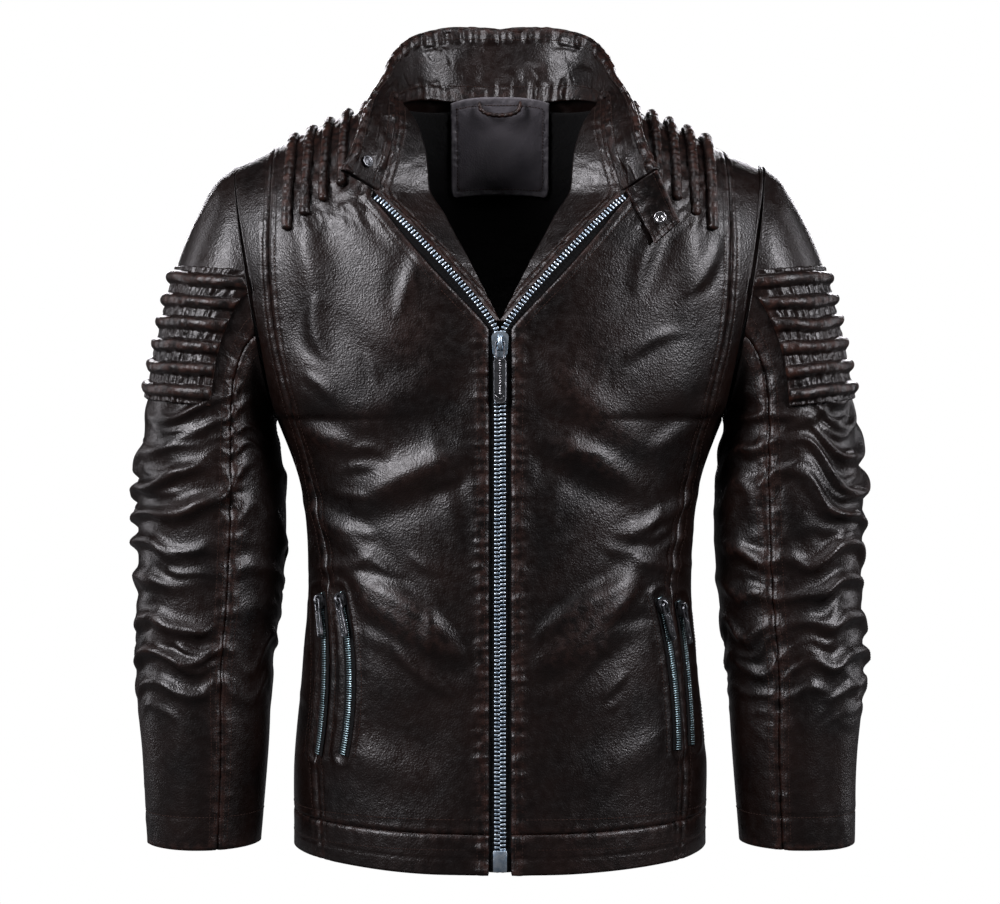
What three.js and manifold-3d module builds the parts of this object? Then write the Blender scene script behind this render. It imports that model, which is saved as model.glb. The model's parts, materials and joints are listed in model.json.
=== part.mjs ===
// Leather riding jacket with a stand collar, held up at the neck and shoulders.
// Millimetres, +Z up, the front faces -Y and the wearer's left is +X.
// Heights are measured from the hem; the whole jacket is then lowered so that the
// origin lies on the centre line where a dress form carries it.
import * as THREE from "three";
import Module from "manifold-3d";
import { mergeVertices } from "three/addons/utils/BufferGeometryUtils.js";

const wasm = await Module();
wasm.setup();

// ---- overall heights ----
const FORM_HEIGHT = 620;
const HEM_BAND = 30;
const HIP_HEIGHT = 70;
const LOW_WAIST_HEIGHT = 150;
const WAIST_HEIGHT = 230;
const RIB_HEIGHT = 300;
const ARMPIT_HEIGHT = 358;
const SHOULDER_TIP_HEIGHT = 573;
const NECK_SIDE_HEIGHT = 632;
const BACK_NECK_RISE = 66;
const BACK_YOKE_SEAM = 452;

// ---- widths and depths of the body, each half of the whole ----
const HEM_HALF_WIDTH = 175;
const HIP_HALF_WIDTH = 174;
const LOW_WAIST_HALF_WIDTH = 167;
const WAIST_HALF_WIDTH = 162;
const RIB_HALF_WIDTH = 168;
const ARMPIT_HALF_WIDTH = 190;
const SHOULDER_HALF_WIDTH = 224;
const NECK_HALF_WIDTH = 92;
const BACK_NECK_DEPTH = 75;
const FRONT_DEPTH = 114;
const HEM_BACK_DEPTH = 112;
const WAIST_BACK_DEPTH = 96;
const BLADE_BACK_DEPTH = 118;
const ARMHOLE_HALF_DEPTH = 70;
const BODY_SQUARENESS = 2.3;

// ---- leather and lining ----
const LEATHER = 2;
const SEAM = 0.6;
const LINING_INSET = 8.2;
const LINING_SIDE_TURN = 0.004;
const TAB_ROOT_GAP = 0.014;
const LINING = 3;
const LINING_BASE = 20;
const LINING_DROP = 0.22;
const LINING_DROP_AT_BACK = 0.03;
const POCKET_BAG_INSET = 3.6;
const POCKET_BAG = 2;
const LABEL_GAP = 1.6;
const LABEL = 1.6;

// ---- front opening and its zip ----
const CHAIN_HALF_WIDTH = 4.6;
const CHAIN_FRONT = 0.5;
const CHAIN_THICKNESS = 2.7;
const CHAIN_GAP = 0.3;
const TAPE_GAP = 0.6;
const TAPE_THICKNESS = 0.8;
const TAPE_WIDTH = 20;
const PLACKET_EDGE = 9.5;
const SLIDER_LENGTH = 20;
const SLIDER_TOP = 426;
const VEE_TOP = 538;
const VEE_HALF_WIDTH = 101;
const VEE_CURVE = 1.15;
const VEE_STRIP = 4;
const VEE_STRIP_BULGE = 8;
const FACING_WIDTH = 43;
const BOX_HEIGHT = 18;
const BOX_DROP = 6;
const BOX_HALF_WIDTH = 5.6;

// ---- sleeves ----
const SLEEVE_SEAM_ANGLE = 112;
const SLEEVE_LINING_INSET = 5.2;
const SLEEVE_GAP = 0.5;
const RIB_COUNT = 6;
const RIB_TOP = 478;
const RIB_PITCH = 18.4;
const RIB_RADIUS = 4.2;
const RIB_PANEL_ANGLE = 93;
const RIB_SLOPE = 9;
const RIB_PANEL_GAP = 1.2;

// ---- shoulder cords ----
const CORD_COUNT = 5;
const CORD_RADIUS = 3;
const CORD_FIRST = 113;
const CORD_PITCH = 15;
const CORD_GAP = 1;
const CORD_FRONT_ANGLE = 24;
const CORD_FRONT_STEP = 4;
const CORD_BACK_ANGLE = 28;

// ---- collar ----
const COLLAR_LEAF = 1.6;
const COLLAR_LEAF_GAP = 0.4;
const COLLAR_LIFT = 0.7;
const COLLAR_END = 0.98;
const TAB_THICKNESS = 3;
const SNAP_RADIUS = 5;
const SNAP_HEIGHT = 2.2;
const SNAP_GAP = 0.3;

const radians = THREE.MathUtils.degToRad;
const armholeMiddle = (ARMPIT_HEIGHT + SHOULDER_TIP_HEIGHT) / 2;
const armholeHalfHeight = (SHOULDER_TIP_HEIGHT - ARMPIT_HEIGHT) / 2;
const armholeLean = (SHOULDER_HALF_WIDTH - ARMPIT_HALF_WIDTH) / (SHOULDER_TIP_HEIGHT - ARMPIT_HEIGHT);
const shoulderSlope = (NECK_SIDE_HEIGHT - SHOULDER_TIP_HEIGHT) / (SHOULDER_HALF_WIDTH - NECK_HALF_WIDTH);
const veeBottom = SLIDER_TOP + 1;

const jacket = new THREE.Group();
jacket.position.z = -FORM_HEIGHT;

// ---- small tools ----

// A smooth curve through [where, value] pairs, level at neither end.
function smoothThrough(pairs) {
  const slopeAt = (i) => {
    const before = pairs[Math.max(i - 1, 0)];
    const after = pairs[Math.min(i + 1, pairs.length - 1)];
    return (after[1] - before[1]) / (after[0] - before[0]);
  };
  return (where) => {
    let i = 0;
    while (i < pairs.length - 2 && where > pairs[i + 1][0]) {
      i += 1;
    }
    const span = pairs[i + 1][0] - pairs[i][0];
    const t = THREE.MathUtils.clamp((where - pairs[i][0]) / span, 0, 1);
    const [h00, h10] = [2 * t ** 3 - 3 * t ** 2 + 1, t ** 3 - 2 * t ** 2 + t];
    const [h01, h11] = [-2 * t ** 3 + 3 * t ** 2, t ** 3 - t ** 2];
    return h00 * pairs[i][1] + h10 * span * slopeAt(i) + h01 * pairs[i + 1][1] + h11 * span * slopeAt(i + 1);
  };
}

function piece(name, geometry, color, roughness, metalness = 0) {
  const mesh = new THREE.Mesh(geometry, new THREE.MeshStandardMaterial({ color, roughness, metalness }));
  mesh.name = name;
  jacket.add(mesh);
  return mesh;
}

// Faces pointing out: a closed solid with a negative volume is turned round.
function turnedOut(positions, faces) {
  let volume = 0;
  const [a, b, c] = [new THREE.Vector3(), new THREE.Vector3(), new THREE.Vector3()];
  for (const [i, j, k] of faces) {
    a.copy(positions[i]);
    b.copy(positions[j]);
    c.copy(positions[k]);
    volume += a.dot(b.cross(c));
  }
  const index = faces.flatMap(([i, j, k]) => (volume < 0 ? [i, k, j] : [i, j, k]));
  const geometry = new THREE.BufferGeometry();
  geometry.setAttribute("position", new THREE.Float32BufferAttribute(positions.flatMap((p) => p.toArray()), 3));
  geometry.setIndex(index);
  return geometry;
}

// A closed sheet between two surfaces over the same steps across and along.
// With looped, the last column joins the first and the sheet is a tube.
function sheet(outer, inner, across, along, looped = false) {
  const positions = [];
  const columns = looped ? across.length - 1 : across.length;
  for (const surface of [outer, inner]) {
    for (const v of along) {
      for (let i = 0; i < columns; i += 1) {
        positions.push(surface(across[i], v));
      }
    }
  }
  const layer = columns * along.length;
  const at = (side, i, j) => side * layer + j * columns + (i % columns);
  const faces = [];
  const quad = (p, q, r, s) => faces.push([p, q, r], [p, r, s]);
  for (let j = 0; j < along.length - 1; j += 1) {
    for (let i = 0; i < across.length - 1; i += 1) {
      quad(at(0, i, j), at(0, i + 1, j), at(0, i + 1, j + 1), at(0, i, j + 1));
      quad(at(1, i, j), at(1, i, j + 1), at(1, i + 1, j + 1), at(1, i + 1, j));
    }
  }
  const last = along.length - 1;
  for (let i = 0; i < across.length - 1; i += 1) {
    quad(at(0, i, 0), at(1, i, 0), at(1, i + 1, 0), at(0, i + 1, 0));
    quad(at(0, i, last), at(0, i + 1, last), at(1, i + 1, last), at(1, i, last));
  }
  if (!looped) {
    const end = columns - 1;
    for (let j = 0; j < last; j += 1) {
      quad(at(0, 0, j), at(0, 0, j + 1), at(1, 0, j + 1), at(1, 0, j));
      quad(at(0, end, j), at(1, end, j), at(1, end, j + 1), at(0, end, j + 1));
    }
  }
  return turnedOut(positions, faces);
}

// The same surface moved along its own normal.
function raised(surface, distance, step = 0.01) {
  return (u, v) => {
    const alongU = surface(u + step, v).sub(surface(u - step, v));
    const alongV = surface(u, v + step).sub(surface(u, v - step));
    const normal = alongU.cross(alongV).normalize();
    return surface(u, v).addScaledVector(normal, distance);
  };
}

const steps = (from, to, count) => Array.from({ length: count + 1 }, (_, i) => from + ((to - from) * i) / count);
const unitSteps = (count) => steps(0, 1, count);

function solid(geometry) {
  const plain = geometry.clone();
  plain.deleteAttribute("normal");
  plain.deleteAttribute("uv");
  const merged = mergeVertices(plain, 1e-4);
  const vertProperties = new Float32Array(merged.attributes.position.array);
  const triVerts = new Uint32Array(merged.index.array);
  return new wasm.Manifold(new wasm.Mesh({ numProp: 3, vertProperties, triVerts }));
}

function geometryOf(manifold) {
  const mesh = manifold.getMesh();
  const geometry = new THREE.BufferGeometry();
  geometry.setAttribute("position", new THREE.Float32BufferAttribute(mesh.vertProperties, 3));
  geometry.setIndex(Array.from(mesh.triVerts));
  return geometry;
}

function block(width, depth, height, x, y, z) {
  return solid(new THREE.BoxGeometry(width, depth, height).translate(x, y, z));
}

// ---- the surface of the body ----

const sideWidth = smoothThrough([
  [0, HEM_HALF_WIDTH],
  [HIP_HEIGHT, HIP_HALF_WIDTH],
  [LOW_WAIST_HEIGHT, LOW_WAIST_HALF_WIDTH],
  [WAIST_HEIGHT, WAIST_HALF_WIDTH],
  [RIB_HEIGHT, RIB_HALF_WIDTH],
  [ARMPIT_HEIGHT, ARMPIT_HALF_WIDTH],
]);

const backDepth = smoothThrough([
  [0, HEM_BACK_DEPTH],
  [WAIST_HEIGHT, WAIST_BACK_DEPTH],
  [armholeMiddle, BLADE_BACK_DEPTH],
]);

const armholeX = (z) => ARMPIT_HALF_WIDTH + armholeLean * (z - ARMPIT_HEIGHT);

// Top of the cloth over x: the shoulder line, carried on inwards under the collar.
function shoulderLine(x, face) {
  const inward = face > 0 ? BACK_NECK_RISE * (1 - (x / NECK_HALF_WIDTH) ** 3) : 0;
  return NECK_SIDE_HEIGHT + (x < NECK_HALF_WIDTH ? inward : shoulderSlope * (NECK_HALF_WIDTH - x));
}

// level runs from 0 at the hem to 1 at the middle of the armhole and 2 on the shoulder line.
const levelOf = (z) => z / armholeMiddle;

function stationOf(level) {
  if (level <= 1) {
    const z = level * armholeMiddle;
    const above = Math.max(0, z - ARMPIT_HEIGHT) / armholeHalfHeight;
    const width = z < ARMPIT_HEIGHT ? sideWidth(z) : armholeX(z);
    const edge = ARMHOLE_HALF_DEPTH * Math.sqrt(Math.max(0, 1 - (1 - Math.min(above, 1)) ** 2));
    return { z, width, edge: above > 0 ? edge : 0, above: Math.min(above, 1), rise: 0, fall: 1 };
  }
  const angle = ((level - 1) * Math.PI) / 2;
  const rise = Math.sin(angle);
  const width = armholeX(armholeMiddle + armholeHalfHeight * rise);
  return { z: armholeMiddle, width, edge: ARMHOLE_HALF_DEPTH, above: 1, rise, fall: Math.cos(angle) };
}

// turn runs from 0 on the centre line to a quarter turn at the side.
function turnAt(x, level) {
  const ratio = THREE.MathUtils.clamp(x / stationOf(level).width, 0, 1);
  return Math.asin(ratio ** (BODY_SQUARENESS / 2));
}

function bodyPoint(side, face, turn, level, inset = 0) {
  const station = stationOf(level);
  const x = (station.width - inset) * Math.max(0, Math.sin(turn)) ** (2 / BODY_SQUARENESS);
  const depth = face < 0 ? FRONT_DEPTH : backDepth(station.z);
  const blend = station.above * station.above * (3 - 2 * station.above);
  const power = 1 / BODY_SQUARENESS + (0.85 - 1 / BODY_SQUARENESS) * blend;
  const edge = Math.max(0, station.edge - inset);
  const bow = Math.max(0, Math.cos(turn)) ** (2 * power);
  const y = (edge + (depth - inset - edge) * bow) * station.fall + SEAM / 2;
  const z = station.z + (shoulderLine(x, face) - inset - station.z) * station.rise;
  return new THREE.Vector3(side * x, face * y, z);
}

const bodyAtX = (side, face, x, level, inset = 0) => bodyPoint(side, face, turnAt(x, level), level, inset);

// Levels of a front point whose height is z near the neck.
function frontLevel(z) {
  return z <= armholeMiddle
    ? levelOf(z)
    : 1 + Math.asin(Math.min(1, (z - armholeMiddle) / (NECK_SIDE_HEIGHT - armholeMiddle))) / (Math.PI / 2);
}

function frontHeight(level) {
  return level <= 1
    ? level * armholeMiddle
    : armholeMiddle + (NECK_SIDE_HEIGHT - armholeMiddle) * Math.sin(((level - 1) * Math.PI) / 2);
}

// ---- lines drawn on the body ----

// Middle of the row of teeth, closed up to the slider and open above it.
function teethX(z) {
  const t = THREE.MathUtils.clamp((z - veeBottom) / (VEE_TOP - veeBottom), 0, 1);
  return CHAIN_HALF_WIDTH / 2 + (VEE_HALF_WIDTH - CHAIN_HALF_WIDTH / 2) * t ** VEE_CURVE;
}

const neckEdge = smoothThrough([
  [VEE_TOP, VEE_HALF_WIDTH + CHAIN_HALF_WIDTH / 2 + 1],
  [VEE_TOP + 30, NECK_HALF_WIDTH + 3],
  [VEE_TOP + 62, NECK_HALF_WIDTH - 3],
  [NECK_SIDE_HEIGHT, NECK_HALF_WIDTH],
]);

// Inner edge of the front leather: placket, then the open vee, then the neck seam.
function leatherEdge(level) {
  const z = frontHeight(level);
  if (z > VEE_TOP) {
    return neckEdge(z);
  }
  const t = THREE.MathUtils.clamp((z - veeBottom) / (VEE_TOP - veeBottom), 0, 1);
  const strip = CHAIN_HALF_WIDTH / 2 + 1 + (VEE_STRIP - 1) * (1 - t) + VEE_STRIP_BULGE * Math.sin(Math.PI * t);
  return Math.max(PLACKET_EDGE, teethX(z) + strip);
}

const princessLine = smoothThrough([
  [0, 146],
  [85, 151],
  [215, 140],
  [RIB_HEIGHT, 154],
  [430, 186],
  [SHOULDER_TIP_HEIGHT, 190],
  [NECK_SIDE_HEIGHT, 190],
]);

const lowerLevels = [HEM_BAND + SEAM / 2, 90, 150, 210, 270, 320, ARMPIT_HEIGHT, 363, 378, 405, 440].map(levelOf);
const veeLevels = steps(veeBottom, VEE_TOP, 8).map(frontLevel);
const frontLevels = [
  ...lowerLevels.filter((level) => level < veeLevels[0] - 0.02),
  ...veeLevels,
  ...steps(veeLevels[8], 2, 4).slice(1),
];
const hemLevels = [0, HEM_BAND / 2, HEM_BAND - SEAM / 2].map(levelOf);
const SEAM_RADIUS = 150;
const seamTurn = SEAM / 2 / SEAM_RADIUS;

function bodySheet(side, face, from, to, columns, levels, outset, thickness) {
  const place = (inset) => (u, level) => {
    const turn = THREE.MathUtils.lerp(from(level), to(level), u);
    return bodyPoint(side, face, turn, level, inset);
  };
  return sheet(place(outset), place(outset + thickness), unitSteps(columns), levels);
}

const leatherColor = 0x2a1f1c;
const cordColor = 0x3a201a;
const liningColor = 0x0b0b0c;
const metalColor = 0x8d949a;
const gunmetalColor = 0x3b3d40;
const sides = [["left", 1], ["right", -1]];
const quarter = Math.PI / 2;

// ---- fronts, sides and hem ----
for (const [word, side] of sides) {
  const edgeTurn = (level) => turnAt(leatherEdge(level), level);
  const princessTurn = (level) => turnAt(princessLine(frontHeight(level)), level);
  const front = [edgeTurn, (level) => princessTurn(level) - seamTurn];
  const flank = [(level) => princessTurn(level) + seamTurn, () => quarter];
  piece(`front_panel_${word}`, bodySheet(side, -1, ...front, 7, frontLevels, 0, LEATHER), leatherColor, 0.4);
  piece(`side_panel_${word}`, bodySheet(side, -1, ...flank, 4, frontLevels, 0, LEATHER), leatherColor, 0.4);
  piece(`hem_band_${word}`, bodySheet(side, -1, edgeTurn, () => quarter, 10, hemLevels, 0, LEATHER), leatherColor, 0.4);
  const liningEdge = (level) => turnAt(leatherEdge(level) + TAPE_WIDTH - PLACKET_EDGE + 3, level);
  const liningLevels = [levelOf(LINING_BASE), levelOf(150), levelOf(260), levelOf(347), levelOf(380),
    levelOf(427), ...steps(1, 1.9, 4)];
  const liningSheet = bodySheet(side, -1, liningEdge, () => quarter - LINING_SIDE_TURN, 6, liningLevels, LINING_INSET, LINING);
  piece(`lining_front_${word}`, liningSheet, liningColor, 0.95);
}

// ---- back ----
const backNeckDepth = (x) => BACK_NECK_DEPTH * Math.sqrt(Math.max(0, 1 - (x / NECK_HALF_WIDTH) ** 3));

// Highest level of the back at a turn: the neck seam, then the shoulder line.
function backTop(turn, inset = 0) {
  const x = bodyPoint(1, 1, turn, 1.8, inset).x;
  if (x >= NECK_HALF_WIDTH) {
    return 2;
  }
  const bow = Math.max(0, Math.cos(turn)) ** 1.7;
  const depth = ARMHOLE_HALF_DEPTH + (BLADE_BACK_DEPTH - ARMHOLE_HALF_DEPTH) * bow;
  return 1 + Math.acos(Math.min(1, backNeckDepth(x) / depth)) / quarter;
}

const signedBack = (turn, level, inset) => bodyPoint(Math.sign(turn) || 1, 1, Math.abs(turn), level, inset);
const backTurns = (count) => steps(-quarter, quarter, count);

function backSheet(turns, levels, outset, thickness) {
  const place = (inset) => (turn, level) => signedBack(turn, level, inset);
  return sheet(place(outset), place(outset + thickness), turns, levels);
}

const yokeBase = levelOf(BACK_YOKE_SEAM);
const backLevels = [...lowerLevels.filter((level) => level < yokeBase - 0.01), yokeBase - SEAM / 2 / armholeMiddle];
piece("back_panel", backSheet(backTurns(16), backLevels, 0, LEATHER), leatherColor, 0.4);
piece("hem_band_back", backSheet(backTurns(16), hemLevels, 0, LEATHER), leatherColor, 0.4);

function yokeSheet(turns, base, rows, outset, thickness) {
  const place = (inset) => (turn, t) => {
    return signedBack(turn, THREE.MathUtils.lerp(base, backTop(Math.abs(turn)), t), inset);
  };
  return sheet(place(outset), place(outset + thickness), turns, unitSteps(rows));
}

// Steps round the neck, from the centre back (0) to the shoulder line (0.5).
const neckSteps = steps(0, 0.5, 6);
const neckTurn = (t) => turnAt(Math.min(NECK_HALF_WIDTH * Math.sin(t * Math.PI), NECK_HALF_WIDTH - 0.01), 1.8);
const halfYoke = [...neckSteps.map(neckTurn), ...steps(neckTurn(0.5), quarter, 6).slice(1)];
const yokeTurns = [...halfYoke.slice(1).reverse().map((turn) => -turn), ...halfYoke];
piece("back_yoke", yokeSheet(yokeTurns, yokeBase + SEAM / 2 / armholeMiddle, 6, 0, LEATHER), leatherColor, 0.4);

// The back lining in one piece, from above the hem to just under the neck seam.
const liningTurns = steps(-quarter + LINING_SIDE_TURN, quarter - LINING_SIDE_TURN, 18);
const lowerLining = [levelOf(LINING_BASE), ...lowerLevels.slice(1)];
const liningRows = steps(0, lowerLining.length + 7, lowerLining.length + 7);
const liningPlace = (inset) => (turn, row) => {
  const t = (row - lowerLining.length + 1) / 8;
  const sideways = THREE.MathUtils.smoothstep(Math.abs(turn), 0, neckTurn(0.45));
  const top = backTop(Math.abs(turn)) - THREE.MathUtils.lerp(LINING_DROP_AT_BACK, LINING_DROP, sideways);
  const level = row < lowerLining.length ? lowerLining[row] : THREE.MathUtils.lerp(lowerLining.at(-1), top, t);
  return signedBack(turn, level, inset);
};
const backLining = sheet(liningPlace(LINING_INSET), liningPlace(LINING_INSET + LINING), liningTurns, liningRows);
piece("lining_back", backLining, liningColor, 0.95);

// ---- label and hanger loop inside the back of the neck ----
const LABEL_HALF_WIDTH = 46;
const LABEL_HEIGHT = 82;
const LABEL_TOP = 643;
const LOOP_HALF_WIDTH = 18;
const LOOP_DROP = 13;
const LOOP_RADIUS = 2;
const LOOP_GAP = 0.6;
const labelInset = LINING_INSET + LINING + LABEL_GAP;

function backLevelOf(z) {
  const top = shoulderLine(0, 1);
  return 1 + Math.asin((z - armholeMiddle) / (top - labelInset - armholeMiddle)) / quarter;
}

const labelPlace = (inset) => (x, level) => bodyAtX(Math.sign(x) || 1, 1, Math.abs(x), level, inset);
const labelAcross = steps(-LABEL_HALF_WIDTH, LABEL_HALF_WIDTH, 6);
const labelLevels = steps(backLevelOf(LABEL_TOP - LABEL_HEIGHT), backLevelOf(LABEL_TOP), 4);
const labelSheet = sheet(labelPlace(labelInset), labelPlace(labelInset + LABEL), labelAcross, labelLevels);
piece("neck_label", labelSheet, 0x2c2a2c, 0.5);

function roundSection(radius, sidesCount) {
  const shape = new THREE.Shape();
  for (let i = 0; i < sidesCount; i += 1) {
    const angle = (2 * Math.PI * i) / sidesCount;
    const [x, y] = [radius * Math.cos(angle), radius * Math.sin(angle)];
    if (i === 0) {
      shape.moveTo(x, y);
    } else {
      shape.lineTo(x, y);
    }
  }
  shape.closePath();
  return shape;
}

function tube(points, radius, sidesCount, count) {
  const extrudePath = new THREE.CatmullRomCurve3(points);
  return new THREE.ExtrudeGeometry(roundSection(radius, sidesCount), { steps: count, extrudePath });
}

const loopRoot = bodyAtX(1, 1, 0, backLevelOf(LABEL_TOP), labelInset + LABEL + LOOP_GAP + LOOP_RADIUS);
const loopPoints = [[-1, 0], [-0.94, -0.55], [-0.6, -0.93], [0, -1], [0.6, -0.93], [0.94, -0.55], [1, 0]].map(
  ([across, down]) => new THREE.Vector3(across * LOOP_HALF_WIDTH, loopRoot.y, loopRoot.z + down * LOOP_DROP),
);
piece("hanger_loop", tube(loopPoints, LOOP_RADIUS, 8, 12), 0x171416, 0.5);

// ---- front zip ----
const chainFront = -CHAIN_FRONT;
const chainBack = CHAIN_THICKNESS - CHAIN_FRONT;
const tapeFront = chainBack + TAPE_GAP;
const zipLevels = [
  ...[BOX_HEIGHT - BOX_DROP + 0.5, 120, 230, 340].map(frontLevel),
  ...veeLevels.slice(0, -1),
  frontLevel(VEE_TOP - 1),
];

// A strip of the zip: its two edges are distances from the middle of the teeth.
function zipStrip(side, near, far, front, back) {
  const place = (inset) => (u, level) => {
    const x = teethX(frontHeight(level)) + THREE.MathUtils.lerp(near, far, u);
    return bodyAtX(side, -1, Math.max(CHAIN_GAP, x), level, inset);
  };
  return sheet(place(front), place(back), unitSteps(1), zipLevels);
}

const halfTooth = CHAIN_HALF_WIDTH / 2;
for (const [word, side] of sides) {
  const teethSheet = zipStrip(side, -halfTooth + CHAIN_GAP, halfTooth, chainFront, chainBack);
  piece(`zip_teeth_${word}`, teethSheet, metalColor, 0.35, 0.9);
  const tapeSheet = zipStrip(side, -halfTooth + CHAIN_GAP, TAPE_WIDTH - halfTooth, tapeFront, tapeFront + TAPE_THICKNESS);
  piece(`zip_tape_${word}`, tapeSheet, 0x101012, 0.9);
  const facingLevels = steps(veeBottom + 8, NECK_SIDE_HEIGHT - 3, 10).map(frontLevel);
  const facing = (u, level) => {
    const z = frontHeight(level);
    const t = THREE.MathUtils.clamp((z - veeBottom) / (VEE_TOP - veeBottom), 0, 1);
    const fade = THREE.MathUtils.clamp((z - VEE_TOP) / (NECK_SIDE_HEIGHT - VEE_TOP), 0, 1);
    const width = FACING_WIDTH * t ** 1.3 * (1 - 0.75 * fade) + 1;
    const edge = z > VEE_TOP ? neckEdge(z) - 2 : teethX(z) - halfTooth - 1.2;
    const root = bodyAtX(side, -1, Math.max(edge, 1), level, 1);
    root.x -= side * width * u;
    root.y += 0.55 * width * u;
    return root;
  };
  const thick = (u, level) => facing(u, level).add(new THREE.Vector3(side * 0.5, LEATHER * 0.8, 0));
  piece(`front_facing_${word}`, sheet(facing, thick, unitSteps(3), facingLevels), leatherColor, 0.4);
}

const boxSolid = new THREE.BoxGeometry(2 * BOX_HALF_WIDTH, 4.4, BOX_HEIGHT - 0.6)
  .translate(0, -FRONT_DEPTH + 0.6, BOX_HEIGHT / 2 - BOX_DROP);
piece("zip_retainer_box", boxSolid, metalColor, 0.35, 0.9);

// Slider: a channel over the teeth with an open bridge on its face. Local axes:
// x across, z along the zip with the slider's middle at 0, -y out of the cloth, 0 on the cloth.
const PLATE = 1.6;
const BRIDGE_WINDOW = 3.2;
const BRIDGE_BAR = 1.5;
function sliderSolid(halfWidth, length, toothHalf, toothFront, toothBack) {
  const face = toothFront - CHAIN_GAP;
  const flange = halfWidth - toothHalf - CHAIN_GAP;
  const flangeDepth = toothBack - face;
  const windowLength = length * 0.32;
  const leg = length * 0.12;
  const bridgeFace = face - PLATE - BRIDGE_WINDOW;
  const bridgeMiddle = length * 0.08;
  const legAt = windowLength / 2 + leg / 2;
  const legCentre = face - PLATE - (BRIDGE_WINDOW + BRIDGE_BAR) / 2 + 0.2;
  const legDepth = BRIDGE_WINDOW + BRIDGE_BAR + 0.4;
  const bridgeWidth = halfWidth * 0.5;
  return block(2 * halfWidth, PLATE, length, 0, face - PLATE / 2, 0)
    .add(block(flange, flangeDepth, length, halfWidth - flange / 2, face + flangeDepth / 2 - 0.1, 0))
    .add(block(flange, flangeDepth, length, -halfWidth + flange / 2, face + flangeDepth / 2 - 0.1, 0))
    .add(block(bridgeWidth, legDepth, leg, 0, legCentre, bridgeMiddle + legAt))
    .add(block(bridgeWidth, legDepth, leg, 0, legCentre, bridgeMiddle - legAt))
    .add(block(bridgeWidth, BRIDGE_BAR, windowLength + 2 * leg, 0, bridgeFace - BRIDGE_BAR / 2, bridgeMiddle));
}

// Puller: a frame whose top bar passes through the bridge, and a flat bar below it.
// Local origin on the hinge line, the puller hangs towards -z.
const PULLER_THICKNESS = 1.8;
function pullerSolid(eyeHalf, eyeLength, barHalf, barLength) {
  const arm = 1.6;
  const barTop = -eyeLength + arm;
  return block(2 * eyeHalf, PULLER_THICKNESS, arm, 0, 0, 0)
    .add(block(arm, PULLER_THICKNESS, eyeLength, eyeHalf - arm / 2, 0, -eyeLength / 2 + arm / 2))
    .add(block(arm, PULLER_THICKNESS, eyeLength, -eyeHalf + arm / 2, 0, -eyeLength / 2 + arm / 2))
    .add(block(2 * barHalf, PULLER_THICKNESS, barLength, 0, 0, barTop - barLength / 2))
    .add(block(2 * barHalf - 3, PULLER_THICKNESS, 3, 0, 0, barTop - barLength - 1.4));
}

const hingeDepth = (toothFront) => toothFront - CHAIN_GAP - PLATE - BRIDGE_WINDOW / 2;

const frontSlider = sliderSolid(6.9, SLIDER_LENGTH, CHAIN_HALF_WIDTH, chainFront, chainBack);
const sliderMiddle = SLIDER_TOP - SLIDER_LENGTH / 2;
piece("front_zip_slider", geometryOf(frontSlider), metalColor, 0.3, 0.9)
  .position.set(0, -FRONT_DEPTH - SEAM / 2, sliderMiddle);
const frontHinge = new THREE.Vector3(0, -FRONT_DEPTH - SEAM / 2 + hingeDepth(chainFront), sliderMiddle + 1.6);
piece("front_zip_puller", geometryOf(pullerSolid(4, 14, 5.4, 34)), gunmetalColor, 0.35, 0.9)
  .position.copy(frontHinge);

// ---- pocket zips ----
// Each chain is an arc in a plane that touches the front, so that its slider swings along it
// about the arc's far centre.
const POCKET_CHAIN_HALF = 3.4;
const POCKET_CHAIN = 2.2;
const POCKET_CHAIN_LIFT = -0.25;
const POCKET_SLIDER_LENGTH = 13;
const POCKETS = [
  { name: "left_inner", side: 1, top: [129, 212], bottom: [145, 86], bow: 6 },
  { name: "left_outer", side: 1, top: [146, 208], bottom: [158, 88], bow: 5 },
  { name: "right_inner", side: -1, top: [130, 216], bottom: [127, 84], bow: 9 },
  { name: "right_outer", side: -1, top: [147, 214], bottom: [149, 82], bow: 8 },
];

function pocketFrame({ side, top, bottom, bow }) {
  const lift = -POCKET_CHAIN_LIFT - POCKET_CHAIN;
  const upper = bodyAtX(side, -1, top[0], levelOf(top[1]), lift);
  const lower = bodyAtX(side, -1, bottom[0], levelOf(bottom[1]), lift);
  const middle = upper.clone().add(lower).multiplyScalar(0.5);
  const up = upper.clone().sub(lower);
  const chord = up.length();
  up.normalize();
  const midX = (top[0] + bottom[0]) / 2;
  const midLevel = levelOf((top[1] + bottom[1]) / 2);
  const ahead = bodyAtX(side, -1, midX + 8, midLevel).sub(bodyAtX(side, -1, midX - 8, midLevel)).normalize();
  const outward = ahead.multiplyScalar(side).cross(up).normalize();
  const across = up.clone().cross(outward).normalize();
  const radius = (chord * chord) / (8 * bow) + bow / 2;
  const centre = middle.clone().addScaledVector(across, bow - radius);
  return { centre, up, outward, across, radius, half: Math.asin(chord / 2 / radius) };
}

// Point of a pocket zip: along is the angle from the arc's middle, aside is across the chain.
function onPocket(frame, along, aside, out) {
  const reach = frame.radius + aside;
  return frame.centre.clone()
    .addScaledVector(frame.across, reach * Math.cos(along))
    .addScaledVector(frame.up, reach * Math.sin(along))
    .addScaledVector(frame.outward, out);
}

function placedOnPocket(mesh, frame, along, out) {
  const tangent = frame.up.clone().multiplyScalar(Math.cos(along))
    .addScaledVector(frame.across, -Math.sin(along));
  const backward = frame.outward.clone().negate();
  const basis = new THREE.Matrix4().makeBasis(backward.clone().cross(tangent), backward, tangent);
  mesh.quaternion.setFromRotationMatrix(basis);
  mesh.position.copy(onPocket(frame, along, 0, out));
}

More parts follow.
